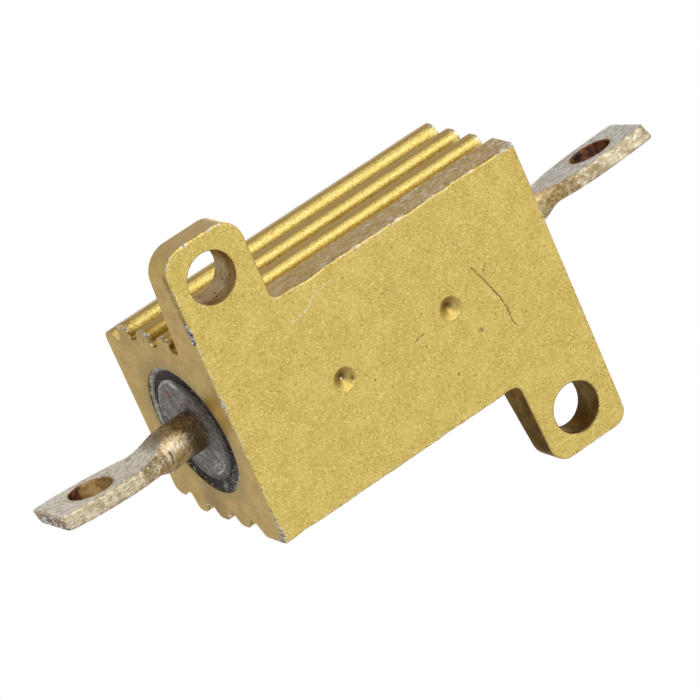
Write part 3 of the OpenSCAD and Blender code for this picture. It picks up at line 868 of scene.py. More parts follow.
    # rub marks on the side next to the left lug, and on the left end
    rub = k.noise(1.0, 4.0, 0.68, vec=k.stretch(2.6, 1.0, 3.2, (1, 2, 3)), distort=0.8)
    on_side = k.times(k.span(k.m("ABSOLUTE", k.m("ADD", k.y, HW)), 0.12, 0.03), k.span(k.z, 1.85, 1.7), k.span(k.x, -5.4, -5.0))
    near = k.span(k.x, 8.0, -4.5, 0.50, 0.56)
    base = k.mix(k.times(on_side, k.span(rub, near, k.m("ADD", near, 0.10)), 0.6), base, (0.82, 0.75, 0.66))
    rub2 = k.noise(1.0, 4.0, 0.7, vec=k.stretch(1.0, 0.9, 5.5, (8, 2, 3)))
    endm = k.span(k.m("ABSOLUTE", k.m("ADD", k.x, HL)), 0.05, 0.01)
    base = k.mix(k.times(endm, k.span(rub2, 0.62, 0.76), 0.40), base, (0.86, 0.80, 0.66))
    # painted shade round the bore on the end faces (the left end's notches get theirs in gold_material)
    r = k.add("ShaderNodeVectorMath", operation="LENGTH")
    k.link(k.vec(0.0, k.y, k.m("SUBTRACT", k.z, AZ)), r.inputs[0])
    ring = k.times(k.span(k.m("ABSOLUTE", k.x), HL - 0.12, HL - 0.03), k.span(k.m("ADD", r.outputs["Value"], k.m("MULTIPLY", k.m("SUBTRACT", g_of(k), 0.5), 0.8)), 4.3, 3.4))
    base = k.mix(k.m("MULTIPLY", ring, 0.55), base, (0.30, 0.215, 0.085))
    # punch marks: painted shade, brown down one side, a duller gold on the other, dark at the bottom
    for mx, my in MARKS:
        inside = k.times(k.span(k.dist((mx, my, 0.1)), 0.66, 0.60), k.span(k.z, 0.02, 0.10))
        q = k.m("SUBTRACT", k.dot((0.30, -0.95, 0.0)), 0.30 * mx - 0.95 * my)
        base = k.mix(k.times(inside, k.span(q, -0.34, -0.02), 0.55), base, (0.31, 0.215, 0.075))
        base = k.mix(k.times(inside, k.span(q, 0.02, -0.20), 0.45), base, (0.46, 0.33, 0.085))
        core = k.blot((mx + 0.06, my - 0.10, 0.30), 0.33, 0.9)
        base = k.mix(k.m("MULTIPLY", core, 0.90), base, (0.070, 0.040, 0.006))
        lip = k.times(k.span(k.m("ABSOLUTE", k.m("SUBTRACT", k.dist((mx, my, 0.0)), 0.60)), 0.05, 0.015), k.span(k.z, 0.12, 0.04), k.span(wob, 0.40, 0.52))
        base = k.mix(k.m("MULTIPLY", lip, 0.45), base, (0.22, 0.14, 0.03))
    (m1x, m1y), (m2x, m2y) = MARKS
    base = k.mix(k.m("MULTIPLY", k.most(k.blot((m1x + 0.44, m1y + 0.18, 0.12), 0.15, 0.7, wob), k.blot((m2x - 0.42, m2y + 0.15, 0.03), 0.08, 0.6, wob)), 0.7), base, (0.12, 0.075, 0.015))
    # a painted glint at the bottom of the first mark
    base = k.mix(k.blot((m1x - 0.01, m1y + 0.0, 0.34), 0.060, 0.5), base, (1.0, 0.98, 0.85))
    # a ragged dark edge round part of the right hole
    hx, hy = HOLES[1]
    teeth = k.noise(4.5, 3.0, 0.7, off=(2, 9, 4))
    ragged = k.times(k.span(k.m("SUBTRACT", k.dist((hx, hy, 0.0)), k.m("MULTIPLY", k.m("SUBTRACT", teeth, 0.45), 0.55)), HOLE_R + 0.09, HOLE_R + 0.03), k.span(k.z, 0.30, 0.10),
                     k.span(k.m("SUBTRACT", k.dot((0.90, 0.43, 0.0)), 0.90 * hx + 0.43 * hy), 0.0, 0.7))
    base = k.mix(k.m("MULTIPLY", ragged, 0.85), base, (0.10, 0.06, 0.02))
    # painted shade on the end face beside the bore, a dark speck under the first groove
    end_face_shade = k.times(endm, k.blot((-HL, 4.25, 5.9), 1.5, 0.8, flake))
    base = k.mix(k.m("MULTIPLY", end_face_shade, 0.72), base, (0.27, 0.165, 0.036))
    burr = k.times(k.span(k.m("ABSOLUTE", k.x), HL - 0.30, HL - 0.08), k.span(k.m("ABSOLUTE", k.x), HL + 0.01, HL - 0.01), k.span(k.z, 2.0, 2.2), k.span(k.z, 8.6, 8.3), k.span(k.m("ABSOLUTE", k.y), 3.9, 4.1), k.span(k.m("ABSOLUTE", k.nx), 0.90, 0.65))
    base = k.mix(k.times(burr, k.span(wob, 0.50, 0.58), 0.85), base, (0.74, 0.70, 0.62))
    base = k.mix(k.times(burr, k.span(wob, 0.46, 0.38), 0.75), base, (0.11, 0.075, 0.030))
    base = k.mix(k.m("MULTIPLY", k.blot((-0.35, -5.25, 2.05), 0.12, 0.6, wob, (1, 2, 1)), 0.8), base, (0.06, 0.045, 0.03))
    rough_ = k.mixf(bare, rough_, 0.40)
    hgt = k.m("MULTIPLY", k.most(bare, dark, specks), -1.0)
    n = k.bump(hgt, 0.7, 0.03, n)
    return k.shader(base, 1.0, rough_, n, Coat_Weight=0.55, Coat_Roughness=0.25, Coat_IOR=1.35, Specular_Tint=(0.95, 0.84, 0.66, 1.0))


def g_of(k):
    return k.noise(2.0, 3.0, 0.6, off=(2, 8, 5))


def bare_material():
    k = Nodes("bare_aluminium")
    g = k.noise(8.0, 3.0, 0.6)
    col = k.mix(k.span(g, 0.38, 0.64), (0.085, 0.080, 0.076), (0.76, 0.74, 0.71))
    return k.shader(col, 1.0, k.span(g, 0.3, 0.7, 0.35, 0.6), k.bump(g, 0.6, 0.03))


def hole_material():
    """Anodised wall of a drilled hole: darker, with drag marks and grime, and painted shade on the right hole's wall.
    """
    k = Nodes("gold_hole_wall")
    g = k.noise(1.0, 4.0, 0.6, vec=k.stretch(2.0, 2.0, 5.0, (2, 5, 1)))
    spots = k.cells(2.4)
    col = k.mix(k.span(g, 0.3, 0.7), (0.23, 0.145, 0.050), (0.42, 0.29, 0.125))
    deep = k.span(k.m("ADD", k.z, k.m("MULTIPLY", g, 1.2)), 1.30, 1.55)
    col = k.mix(deep, col, k.mix(k.span(g, 0.3, 0.7), (0.36, 0.260, 0.135), (0.59, 0.465, 0.28)))
    soft = k.noise(0.9, 3.0, 0.6, off=(6, 3, 2))
    # painted shade: darker on the right hole's wall and on the right lug's inner side, which uses this material
    col = k.mix(k.times(k.span(k.x, 0.0, 1.0), 0.92), col, k.mix(k.span(k.m("ADD", soft, k.m("MULTIPLY", k.m("SUBTRACT", g, 0.5), 0.45)), 0.36, 0.64), (0.080, 0.045, 0.016), (0.190, 0.118, 0.043)))
    col = k.mix(k.times(k.span(spots.outputs["Distance"], 0.22, 0.12), k.span(k.m("ABSOLUTE", k.m("SUBTRACT", k.z, 0.85)), 0.5, 0.25)), col, (0.06, 0.04, 0.02))
    return k.shader(col, 1.0, k.span(g, 0.3, 0.7, 0.3, 0.5), k.bump(k.times(g, k.mixf(k.span(k.x, 0.0, 1.0), 1.0, 0.45)), 0.6, 0.06), Coat_Weight=0.1, Coat_Roughness=0.35, Specular_Tint=(0.62, 0.50, 0.36, 1.0))


def terminal_material():
    """Tinned terminal: pale on the pressed faces, warm and bright on the edges, painted shade in brown at the pin's
    root and on its upper side, with pits, stains and rust.
    """
    k = Nodes("tinned_terminal")
    g1 = k.noise(5.5, 4.0, 0.68)
    g2 = k.noise(1.3, 3.0, 0.6, off=(3, 7, 1))
    g3 = k.noise(13.0, 3.0, 0.65, off=(1, 1, 5))
    along = k.noise(1.0, 4.0, 0.72, vec=k.stretch(2.6, 6.0, 8.0, (4, 1, 2)))
    ax = k.m("ABSOLUTE", k.x)
    any_ = k.m("ABSOLUTE", k.ny)
    blade = k.span(k.m("ADD", ax, k.m("MULTIPLY", k.m("SUBTRACT", g1, 0.5), 1.2)), 10.9, 11.9)
    flat = k.times(k.span(any_, 0.72, 0.92), blade)
    ge = k.noise(1.0, 4.0, 0.68, vec=k.stretch(3.0, 5.2, 4.4, (2, 6, 1)))
    edge = k.mix(k.span(g2, 0.35, 0.65), (0.40, 0.315, 0.18), (0.72, 0.63, 0.45))
    edge = k.mix(k.times(k.span(ge, 0.53, 0.63), 0.65), edge, (0.29, 0.20, 0.095))
    edge = k.mix(k.times(k.span(ge, 0.46, 0.36), 0.75), edge, (0.98, 0.92, 0.76))
    edge = k.mix(k.times(k.span(g3, 0.60, 0.68), 0.5), edge, (0.20, 0.135, 0.07))
    edge = k.mix(k.times(k.span(k.x, 0.0, -1.0), k.span(k.x, -13.6, -15.2), 0.20), edge, (0.27, 0.22, 0.15))
    edge = k.mix(k.times(k.span(k.x, 0.0, 1.0), k.span(k.x, 16.0, 14.6), 0.24), edge, (0.24, 0.18, 0.09))
    neck = k.times(k.span(k.x, 10.8, 11.3), k.span(k.m("ADD", k.x, k.m("MULTIPLY", k.m("SUBTRACT", g1, 0.5), 1.6)), 13.4, 12.3))
    edge = k.mix(k.m("MULTIPLY", neck, 0.62), edge, k.mix(k.span(g1, 0.4, 0.6), (0.17, 0.105, 0.025), (0.52, 0.39, 0.14)))
    face = k.mix(k.span(along, 0.35, 0.62), (0.57, 0.50, 0.37), (1.0, 0.95, 0.82))
    face = k.mix(k.span(k.x, 0.0, 1.0), face, k.mix(k.span(along, 0.38, 0.58), (0.40, 0.365, 0.30), (0.78, 0.74, 0.66)))
    pin = k.mix(k.span(g2, 0.36, 0.62), (0.48, 0.38, 0.22), (0.88, 0.80, 0.60))
    onpin = k.span(ax, 12.4, 11.4)
    col = k.mix(blade, pin, edge)
    necks = k.times(k.span(k.x, 10.3, 10.9), k.span(k.m("ADD", k.x, k.m("MULTIPLY", k.m("SUBTRACT", g1, 0.5), 2.0)), 14.2, 12.9), k.span(ge, 0.40, 0.50))
    col = k.mix(k.m("MULTIPLY", necks, 0.60), col, k.mix(k.span(g1, 0.4, 0.6), (0.14, 0.085, 0.020), (0.46, 0.34, 0.12)))
    col = k.mix(flat, col, face)
    # painted reflection of the dark cap: the pin's root is dark brown
    root = k.span(k.m("ADD", ax, k.m("MULTIPLY", k.m("SUBTRACT", g1, 0.5), 1.3)), 10.6, 9.9)
    col = k.mix(k.m("MULTIPLY", root, 0.93), col, (0.12, 0.075, 0.024))
    # painted shade: darker brown over the upper side of the pin
    upper = k.m("ADD", k.m("SUBTRACT", k.dot((0.0, -0.907, 0.421)), 0.421 * AZ), k.m("MULTIPLY", k.m("SUBTRACT", g2, 0.5), 0.9))
    pin_top_shade = k.times(k.span(ax, 12.2, 11.2), k.span(upper, 0.10, 0.50))
    col = k.mix(k.m("MULTIPLY", pin_top_shade, 0.86), col, k.mix(k.span(g1, 0.38, 0.62), (0.110, 0.062, 0.020), (0.36, 0.225, 0.090)))
    # pits and specks
    pits = k.times(k.span(g1, 0.57, 0.63), k.mixf(onpin, k.mixf(flat, 0.5, 1.0), 0.35))
    col = k.mix(k.times(pits, k.span(g3, 0.40, 0.55), 0.75), col, (0.15, 0.105, 0.06))
    grit = k.times(k.span(k.cells(5.2).outputs["Distance"], 0.26, 0.13), k.span(g2, 0.42, 0.54), k.mixf(onpin, k.mixf(flat, 0.10, 1.0), 0.25))
    col = k.mix(k.m("MULTIPLY", grit, 0.8), col, (0.07, 0.05, 0.035))
    lines = k.times(k.span(along, 0.58, 0.64), k.span(g3, 0.42, 0.55))
    col = k.mix(k.times(lines, flat, 0.8), col, (0.20, 0.15, 0.085))
    gr = k.noise(1.0, 4.0, 0.75, vec=k.stretch(4.2, 6.0, 6.4, (8, 3, 3)))
    col = k.mix(k.times(k.span(gr, 0.55, 0.62), flat, 0.52), col, (0.17, 0.125, 0.08))
    col = k.mix(k.times(k.span(gr, 0.42, 0.34), flat, 0.35), col, (0.97, 0.93, 0.84))
    seam = k.times(k.span(any_, 0.42, 0.58), k.span(any_, 0.97, 0.88), blade, k.span(g1, 0.42, 0.54))
    col = k.mix(k.m("MULTIPLY", seam, 0.60), col, (0.22, 0.15, 0.08))
    # marks turned round the pin
    turned = k.noise(1.0, 3.0, 0.7, vec=k.stretch(9.0, 1.7, 1.7, (5, 5, 1)))
    col = k.mix(k.times(onpin, k.span(turned, 0.55, 0.64), 0.5), col, (0.15, 0.095, 0.040))
    # rust creeping from the cut ends and the eyelets
    wobble = k.m("MULTIPLY", k.m("SUBTRACT", g1, 0.5), 1.6)
    hole_l, hole_r = k.dist((-15.21, -0.4, 4.63)), k.dist((15.36, -0.55, 4.68))
    near = k.most(k.span(k.m("ADD", k.m("MINIMUM", hole_l, hole_r), wobble), 1.32, 1.12), k.span(k.m("SUBTRACT", wobble, k.x), 17.55, 17.75))
    col = k.mix(k.m("MULTIPLY", near, 0.75), col, k.mix(k.span(g3, 0.4, 0.6), (0.30, 0.12, 0.03), (0.62, 0.46, 0.30)))
    scar = k.most(k.blot((14.35, -0.5, 6.05), 0.34, 0.5, g1, (2.2, 1, 0.8)), k.times(k.span(k.x, 11.5, 11.9), k.span(k.x, 13.4, 12.6), k.span(g1, 0.48, 0.6)))
    col = k.mix(k.m("MULTIPLY", scar, 0.55), col, (0.36, 0.19, 0.11))
    crack = k.most(k.times(k.span(k.m("ABSOLUTE", k.m("ADD", k.m("ADD", k.x, 11.30), k.m("ADD", k.m("MULTIPLY", k.y, 0.10), k.m("MULTIPLY", k.m("SUBTRACT", g1, 0.5), 0.25)))), 0.060, 0.025), k.blot((-11.30, 0.10, 3.20), 0.66, 0.35)), k.blot((17.45, -0.7, 3.9), 0.14, 0.5, g1))
    col = k.mix(k.m("MULTIPLY", crack, 0.85), col, (0.05, 0.035, 0.02))
    dull = k.most(pits, near, k.m("MULTIPLY", root, 0.5))
    metal = k.m("SUBTRACT", 1.0, k.m("MULTIPLY", dull, 0.45))
    rough_ = k.mixf(flat, k.mixf(onpin, k.span(g1, 0.3, 0.7, 0.20, 0.36), k.span(g1, 0.3, 0.7, 0.14, 0.26)), k.span(g1, 0.3, 0.7, 0.38, 0.55))
    h = k.m("ADD", k.m("ADD", g1, along), k.m("ADD", k.m("MULTIPLY", g3, 0.4), k.m("MULTIPLY", k.most(grit, crack), -0.8)))
    n = k.bump(k.times(h, k.mixf(onpin, k.mixf(flat, 0.9, 1.0), 0.40)), 0.7, 0.06)
    return k.shader(col, metal, rough_, n)


def rust_material():
    """Bare cut steel of the ends and eyelet walls, gone brown and orange."""
    k = Nodes("rusty_cut")
    g = k.noise(2.6, 4.0, 0.65)
    g2 = k.noise(4.6, 4.0, 0.7, off=(4, 1, 1))
    amber = k.mix(k.span(g, 0.35, 0.62), (0.21, 0.115, 0.032), (0.43, 0.275, 0.095))
    dark = k.mix(k.span(g, 0.38, 0.60), (0.016, 0.008, 0.005), (0.17, 0.055, 0.014))
    low = k.span(k.m("ADD", k.x, k.m("MULTIPLY", k.m("SUBTRACT", g, 0.5), 0.9)), -14.85, -15.6)
    low = k.most(k.times(low, k.span(k.x, 0.0, -1.0)), k.times(k.span(k.x, 0.0, 1.0), k.span(k.m("ADD", k.x, k.m("MULTIPLY", k.m("SUBTRACT", g2, 0.5), 1.4)), 14.5, 14.9)), k.span(k.m("ABSOLUTE", k.x), 17.0, 17.2))
    col = k.mix(low, amber, dark)
    col = k.mix(k.times(k.span(k.m("ABSOLUTE", k.x), 17.0, 17.2), k.span(g2, 0.51, 0.57), 0.95), col, (0.95, 0.89, 0.78))
    col = k.mix(k.times(k.span(g2, 0.47, 0.40), k.span(g, 0.44, 0.52), k.span(k.m("ABSOLUTE", k.x), 17.0, 17.2), 0.85), col, (0.72, 0.34, 0.07))
    col = k.mix(k.times(k.span(g2, 0.64, 0.72), 0.35), col, (0.75, 0.45, 0.14))
    return k.shader(col, k.span(g2, 0.4, 0.7, 0.35, 0.8), k.span(g, 0.3, 0.7, 0.28, 0.55), k.bump(g2, 0.8, 0.06))


def cap_material():
    """Dull dark steel with brushed scratches and stains."""
    k = Nodes("cap_steel")
    s = k.noise(1.0, 5.0, 0.72, vec=k.stretch(1.0, 2.0, 9.0, (2, 0, 0)), distort=0.3)
    s2 = k.noise(1.0, 4.0, 0.7, vec=k.stretch(1.0, 10.0, 3.0, (5, 0, 0)), distort=0.3)
    g = k.noise(1.3, 4.0, 0.65, off=(2, 2, 8))
    g3 = k.noise(7.0, 3.0, 0.65, off=(6, 2, 1))
    col = k.mix(k.span(s, 0.33, 0.68), (0.14, 0.130, 0.125), (0.33, 0.308, 0.28))
    col = k.mix(k.m("MULTIPLY", k.span(s2, 0.60, 0.72), 0.6), col, (0.58, 0.54, 0.48))
    col = k.mix(k.m("MULTIPLY", k.span(g, 0.50, 0.60), 0.72), col, (0.070, 0.060, 0.056))
    gb = k.noise(3.4, 4.0, 0.72, off=(3, 5, 5))
    col = k.mix(k.m("MULTIPLY", k.span(gb, 0.57, 0.64), 0.55), col, (0.62, 0.59, 0.54))
    col = k.mix(k.m("MULTIPLY", k.span(gb, 0.43, 0.36), 0.55), col, (0.045, 0.038, 0.035))
    col = k.mix(k.m("MULTIPLY", k.span(g3, 0.62, 0.72), 0.5), col, (0.05, 0.045, 0.042))
    s3 = k.noise(1.0, 4.0, 0.72, vec=k.vec(k.dot((0, 4.4, 3.6)), k.dot((0, 0.55, -0.67)), 3.0))
    col = k.mix(k.m("MULTIPLY", k.span(s3, 0.56, 0.64), 0.75), col, (0.62, 0.59, 0.54))
    col = k.mix(k.m("MULTIPLY", k.span(s3, 0.46, 0.36), 0.70), col, (0.050, 0.043, 0.039))
    # marks on the left cap: scratches, a pale spot, rust and a whitish patch
    wob = k.noise(6.0, 3.0, 0.6, off=(1, 7, 3))
    X = -CAP_X
    pale = k.most(k.line((X, 2.0, 3.4), (X, 2.35, 4.15), 0.07, wob, 0.2), k.line((X, 1.75, 3.7), (X, 2.1, 4.3), 0.04, wob, 0.2), k.blot((X, -0.6, 2.1), 0.10, 0.5, wob),
                  k.blot((X, 0.0, 3.35), 0.05, 0.5), k.blot((X, -2.45, 4.6), 0.34, 0.6, wob, (1, 0.6, 1.5)), k.times(k.blot((X, 1.8, 3.1), 1.0, 0.6), k.span(g3, 0.54, 0.62)), k.line((X, -1.3, 2.9), (X, -0.6, 2.6), 0.03, wob, 0.3))
    col = k.mix(k.m("MULTIPLY", pale, 0.85), col, (0.78, 0.76, 0.71))
    rusty = k.most(k.blot((X, -1.85, 5.45), 0.33, 0.6, wob, (1, 0.5, 1.6)), k.blot((X, -1.75, 4.05), 0.27, 0.6, wob, (1, 1.3, 0.9)))
    col = k.mix(k.m("MULTIPLY", k.blot((X, 1.8, 4.4), 0.8, 0.8, wob), 0.35), col, (0.33, 0.27, 0.20))
    col = k.mix(k.m("MULTIPLY", rusty, 0.80), col, (0.27, 0.11, 0.04))
    black = k.most(k.line((X, -0.6, 2.05), (X, -0.72, 1.6), 0.05, wob, 0.15), k.blot((X, -1.6, 2.9), 0.55, 0.8, wob, (1, 1.8, 0.7)), k.line((X, -2.2, 6.1), (X, -1.3, 5.2), 0.035, wob, 0.3), k.blot((X, -0.3, 3.3), 0.30, 0.7, wob, (1, 0.8, 1.8)), k.blot((X, -1.1, 3.6), 0.25, 0.7, wob, (1, 1.5, 0.8)))
    col = k.mix(k.m("MULTIPLY", black, 0.6), col, (0.04, 0.034, 0.03))
    # painted highlight on one side of the rim, painted shade inside the rim on the other side
    r = k.add("ShaderNodeVectorMath", operation="LENGTH")
    k.link(k.vec(0.0, k.y, k.m("SUBTRACT", k.z, AZ)), r.inputs[0])
    side = k.span(k.dot((0, -0.50, 0.87), k.vec(0.0, k.y, k.m("SUBTRACT", k.z, AZ))), 0.9, 1.7)
    rim = k.times(k.span(k.m("ABSOLUTE", k.m("SUBTRACT", r.outputs["Value"], CAP_R - 0.06)), 0.12, 0.04), k.span(wob, 0.42, 0.55), k.most(side, k.span(k.dot((0, 0.95, 0.30), k.vec(0.0, k.y, k.m("SUBTRACT", k.z, AZ))), 2.35, 2.75)))
    edge_dark = k.times(k.span(r.outputs["Value"], CAP_R - 0.5, CAP_R - 0.1), k.m("SUBTRACT", 1.0, side))
    col = k.mix(k.m("MULTIPLY", edge_dark, 0.75), col, (0.060, 0.050, 0.046))
    col = k.mix(k.m("MULTIPLY", rim, 0.7), col, (0.66, 0.64, 0.60))
    rough_ = k.span(s, 0.3, 0.7, 0.42, 0.58)
    h = k.m("ADD", k.m("ADD", s, s2), k.m("SUBTRACT", k.m("MULTIPLY", g3, 0.5), k.m("MULTIPLY", black, 0.4)))
    return k.shader(col, 0.9, rough_, k.bump(h, 0.6, 0.05))


def potting_material():
    """Dark filler, crumbled at its face, with a pale crust along the bore's edge."""
    k = Nodes("potting_compound")
    g = k.noise(2.4, 4.0, 0.65)
    g2 = k.noise(7.0, 4.0, 0.7, off=(1, 5, 1))
    col = k.mix(k.span(g, 0.35, 0.65), (0.012, 0.008, 0.0075), (0.046, 0.034, 0.031))
    r = k.add("ShaderNodeVectorMath", operation="LENGTH")
    k.link(k.vec(0.0, k.y, k.m("SUBTRACT", k.z, AZ)), r.inputs[0])
    outer = k.span(r.outputs["Value"], BORE_R - 0.30, BORE_R - 0.12)
    around = k.most(k.span(k.dot((0, -0.50, 0.87), k.vec(0.0, k.y, k.m("SUBTRACT", k.z, AZ))), 1.0, 2.0), k.blot((-POT_X, 2.2, 2.2), 1.2, 0.7))
    crust = k.most(k.times(outer, k.span(g2, 0.36, 0.48), around), k.times(outer, k.span(g2, 0.56, 0.64)), k.span(g2, 0.61, 0.67), k.times(k.blot((-POT_X, 2.6, 2.4), 1.5, 0.6), k.span(g2, 0.52, 0.58)), k.blot((-POT_X, 3.05, 4.25), 0.28, 0.6, g2, (1, 1, 1.2)))
    col = k.mix(k.m("MULTIPLY", crust, 0.85), col, k.mix(k.span(g, 0.4, 0.6), (0.38, 0.35, 0.30), (0.64, 0.62, 0.57)))
    return k.shader(col, 0.0, k.span(g, 0.3, 0.7, 0.45, 0.7), k.bump(g2, 0.9, 0.08), Specular_IOR_Level=0.35)


def ceramic_material():
    k = Nodes("ceramic")
    g = k.noise(3.0, 3.0, 0.6)
    return k.shader(k.mix(k.span(g, 0.3, 0.7), (0.72, 0.68, 0.58), (0.83, 0.80, 0.72)), 0.0, k.span(g, 0.3, 0.7, 0.55, 0.75), k.bump(g, 0.3, 0.02))


def wire_material():
    k = Nodes("resistance_wire")
    g = k.noise(6.0, 3.0, 0.6)
    return k.shader(k.mix(k.span(g, 0.3, 0.7), (0.42, 0.40, 0.37), (0.62, 0.60, 0.56)), 1.0, k.span(g, 0.3, 0.7, 0.25, 0.45), k.bump(g, 0.2, 0.01))


# ---------------------------------------------------------------- pieces
def place(o, slot, *nodes):
    if nodes:
        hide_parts(*nodes)
    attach(o, "root")


def paint(o, *mats):
    me = o.data
    while len(me.materials) < len(mats):
        me.materials.append(None)
    for i, m in enumerate(mats):
        me.materials[i] = m
    while len(me.materials) > len(mats):
        me.materials.pop(index=len(me.materials) - 1)


housing = build_housing()
shade(housing)
to_metres(housing)
housing.name = "housing_shell"
paint(housing, finish_gold(), bare_material(), hole_material())
place(housing, "gold_anodised_aluminium", "housing")

LOW_L = [(-6, 1.03), (-4.4, 1.03), (-3.7, 1.06), (-3.0, 1.18), (-2.2, 1.38), (-1.3, 1.54), (-0.4, 1.62), (0.8, 1.62), (2.0, 1.54), (2.4, 1.47), (2.52, 1.42)]
HIGH_L = [(-6, 1.03), (-4.4, 1.03), (-3.7, 1.06), (-3.0, 1.18), (-2.2, 1.40), (-1.3, 1.54), (-0.4, 1.62), (1.2, 1.62), (2.2, 1.56), (2.52, 1.46)]
LOW_R = [(-6, 1.03), (-4.4, 1.03), (-3.7, 1.08), (-3.0, 1.20), (-2.2, 1.50), (-1.3, 1.67), (-0.4, 1.75), (0.8, 1.75), (2.0, 1.67), (2.24, 1.63), (2.40, 1.53), (2.52, 1.34)]
HIGH_R = [(-6, 1.03), (-4.4, 1.03), (-3.7, 1.08), (-3.0, 1.20), (-2.2, 1.53), (-1.3, 1.67), (-0.4, 1.75), (1.2, 1.75), (2.2, 1.70), (2.52, 1.62)]
tin, rusty = terminal_material(), rust_material()
left = terminal("terminal_left_piece", -1, 15.21, -0.02, 0.03, -3.7, -3.6, LOW_L, HIGH_L, (11.0, 13.1), (10.9, 12.3), 0.0, -0.2, 11.0)
right = terminal("terminal_right_piece", 1, 15.36, -0.2, 0.08, -8.9, -2.4, LOW_R, HIGH_R, (10.6, 12.9), (10.7, 12.2), -0.02, 0.2, 23.0)
for o, node in ((left, "terminal_left"), (right, "terminal_right")):
    shade(o, 40.0)
    to_metres(o)
    paint(o, tin, rusty)
    place(o, "tinned_terminal", node)

cap_mat = cap_material()
for side, nm in ((-1, "left"), (1, "right")):
    o = end_cap("cap_" + nm, side)
    shade(o, 50.0, weighted=False)
    to_metres(o)
    paint(o, cap_mat)
    place(o, "cap_steel", "end_cap_" + nm)

pot = potting("potting_fill")
shade(pot, 60.0, weighted=False)
to_metres(pot)
paint(pot, potting_material())
place(pot, "potting_compound", "potting")

for node, mat in (("ceramic_core", ceramic_material()), ("resistance_winding", wire_material())):
    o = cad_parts[node]
    for i in range(len(o.material_slots)):
        o.material_slots[i].material = mat


# ---------------------------------------------------------------- floor, light, camera
def make_floor():
    n, r = 96, 1.2
    verts = [(0, 0, 0)] + [(r * math.cos(2 * math.pi * i / n), r * math.sin(2 * math.pi * i / n), 0) for i in range(n)]
    me = bpy.data.meshes.new("floor")
    me.from_pydata(verts, [], [(0, 1 + i, 1 + (i + 1) % n) for i in range(n)])
    o = bpy.data.objects.new("floor", me)
    bpy.context.scene.collection.objects.link(o)
    mat = bpy.data.materials.new("pale_floor")
    mat.use_nodes = True
    nt = mat.node_tree
    nt.nodes.clear()
    out = nt.nodes.new("ShaderNodeOutputMaterial")
    dif = nt.nodes.new("ShaderNodeBsdfDiffuse")
    dif.inputs["Color"].default_value = (0.86, 0.86, 0.86, 1)
    tra = nt.nodes.new("ShaderNodeBsdfTransparent")
    geo = nt.nodes.new("ShaderNodeNewGeometry")
    mix = nt.nodes.new("ShaderNodeMixShader")
    nt.links.new(geo.outputs["Backfacing"], mix.inputs[0])
    nt.links.new(dif.outputs[0], mix.inputs[1])
    nt.links.new(tra.outputs[0], mix.inputs[2])
    nt.links.new(mix.outputs[0], out.inputs["Surface"])
    me.materials.append(mat)
    o.visible_shadow = o.visible_diffuse = o.visible_glossy = False


make_floor()


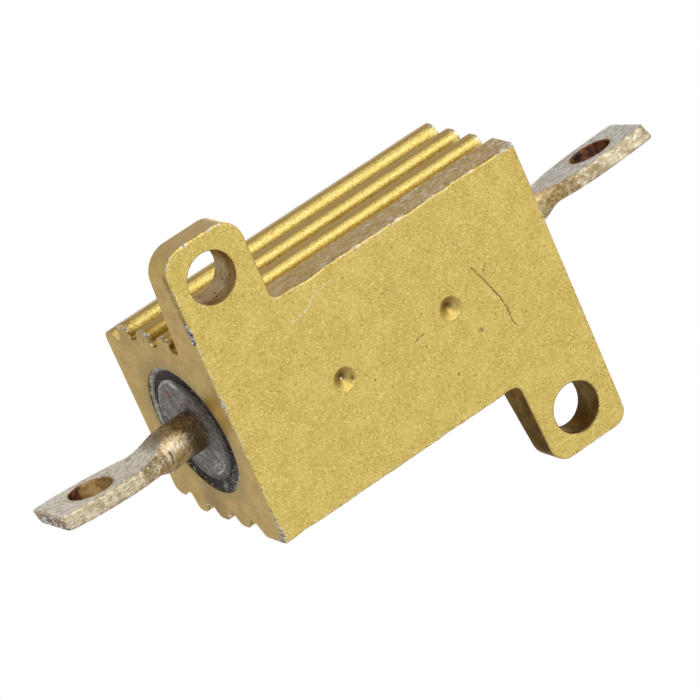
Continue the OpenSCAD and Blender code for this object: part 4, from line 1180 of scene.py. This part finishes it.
def make_world():
    """A soft white tent: brightest low in front of the ridged side, bright below, dimmer above."""
    w = bpy.data.worlds.new("tent")
    bpy.context.scene.world = w
    w.use_nodes = True
    nt = w.node_tree
    nt.nodes.clear()
    out = nt.nodes.new("ShaderNodeOutputWorld")
    bg = nt.nodes.new("ShaderNodeBackground")
    seen = nt.nodes.new("ShaderNodeBackground")
    seen.inputs[0].default_value = (1, 1, 1, 1)
    mix = nt.nodes.new("ShaderNodeMixShader")
    lp = nt.nodes.new("ShaderNodeLightPath")
    tc = nt.nodes.new("ShaderNodeTexCoord")
    # what is seen behind the floor's edge goes softly from the floor's own tone to white
    up = nt.nodes.new("ShaderNodeSeparateXYZ")
    nt.links.new(tc.outputs["Generated"], up.inputs[0])
    fade = nt.nodes.new("ShaderNodeMapRange")
    fade.interpolation_type = "SMOOTHSTEP"
    nt.links.new(up.outputs[2], fade.inputs["Value"])
    for name, v in (("From Min", 0.0), ("From Max", 0.35), ("To Min", 0.58), ("To Max", 1.0)):
        fade.inputs[name].default_value = v
    nt.links.new(fade.outputs[0], seen.inputs[1])
    lobes = [((0.0, 0.0, -1.0), -0.1, 0.95, 0.36), ((0.37, -0.67, -0.56), 0.40, 0.98, 0.52)]
    total = None
    for d, a, b, amount in lobes:
        dot = nt.nodes.new("ShaderNodeVectorMath")
        dot.operation = "DOT_PRODUCT"
        nt.links.new(tc.outputs["Generated"], dot.inputs[0])
        dot.inputs[1].default_value = Vector(d).normalized()
        mr = nt.nodes.new("ShaderNodeMapRange")
        mr.interpolation_type = "SMOOTHSTEP"
        nt.links.new(dot.outputs["Value"], mr.inputs["Value"])
        mr.inputs["From Min"].default_value, mr.inputs["From Max"].default_value = a, b
        mr.inputs["To Min"].default_value, mr.inputs["To Max"].default_value = 0.0, amount
        if total is None:
            total = mr.outputs[0]
        else:
            ad = nt.nodes.new("ShaderNodeMath")
            ad.operation = "ADD"
            nt.links.new(total, ad.inputs[0])
            nt.links.new(mr.outputs[0], ad.inputs[1])
            total = ad.outputs[0]
    ad = nt.nodes.new("ShaderNodeMath")
    ad.operation = "ADD"
    nt.links.new(total, ad.inputs[0])
    ad.inputs[1].default_value = 0.66
    nt.links.new(ad.outputs[0], bg.inputs[1])
    bg.inputs[0].default_value = (1, 1, 1, 1)
    nt.links.new(lp.outputs["Is Camera Ray"], mix.inputs[0])
    nt.links.new(bg.outputs[0], mix.inputs[1])
    nt.links.new(seen.outputs[0], mix.inputs[2])
    nt.links.new(mix.outputs[0], out.inputs["Surface"])


make_world()


def area(name, place_, look, size, power, size_y=None):
    d = bpy.data.lights.new(name, "AREA")
    d.energy, d.size = power, size
    if size_y:
        d.shape, d.size_y = "RECTANGLE", size_y
    o = bpy.data.objects.new(name, d)
    bpy.context.scene.collection.objects.link(o)
    o.location = place_
    o.rotation_mode = "QUATERNION"
    o.rotation_quaternion = (Vector(look) - Vector(place_)).to_track_quat("-Z", "Y")
    return o


area("soft_far", (0.16, 0.14, 0.22), (0, 0, 0.005), 0.24, 0.35)
area("soft_low", (0.11, -0.19, -0.19), (0, 0, 0.005), 0.24, 0.12)

cam_data = bpy.data.cameras.new("camera")
cam_data.lens, cam_data.sensor_width, cam_data.sensor_fit = 277.372, 36.0, "HORIZONTAL"
cam_data.clip_start, cam_data.clip_end = 0.01, 10.0
camera = bpy.data.objects.new("camera", cam_data)
bpy.context.scene.collection.objects.link(camera)
right_row = Vector((0.77167432, 0.37423406, -0.51426414))
down_row = Vector((-0.51623258, 0.84084485, -0.16273863))
view_row = Vector((0.37151402, 0.39106113, 0.84205019))
rot = Matrix((right_row, -down_row, -view_row)).transposed()
camera.matrix_world = Matrix.Translation(Vector((-94.887422, -98.372279, -209.438761)) * 0.001) @ rot.to_4x4()
bpy.context.scene.camera = camera

vs = bpy.context.scene.view_settings
vs.view_transform, vs.look, vs.exposure, vs.gamma = "Standard", "None", 0.0, 1.0
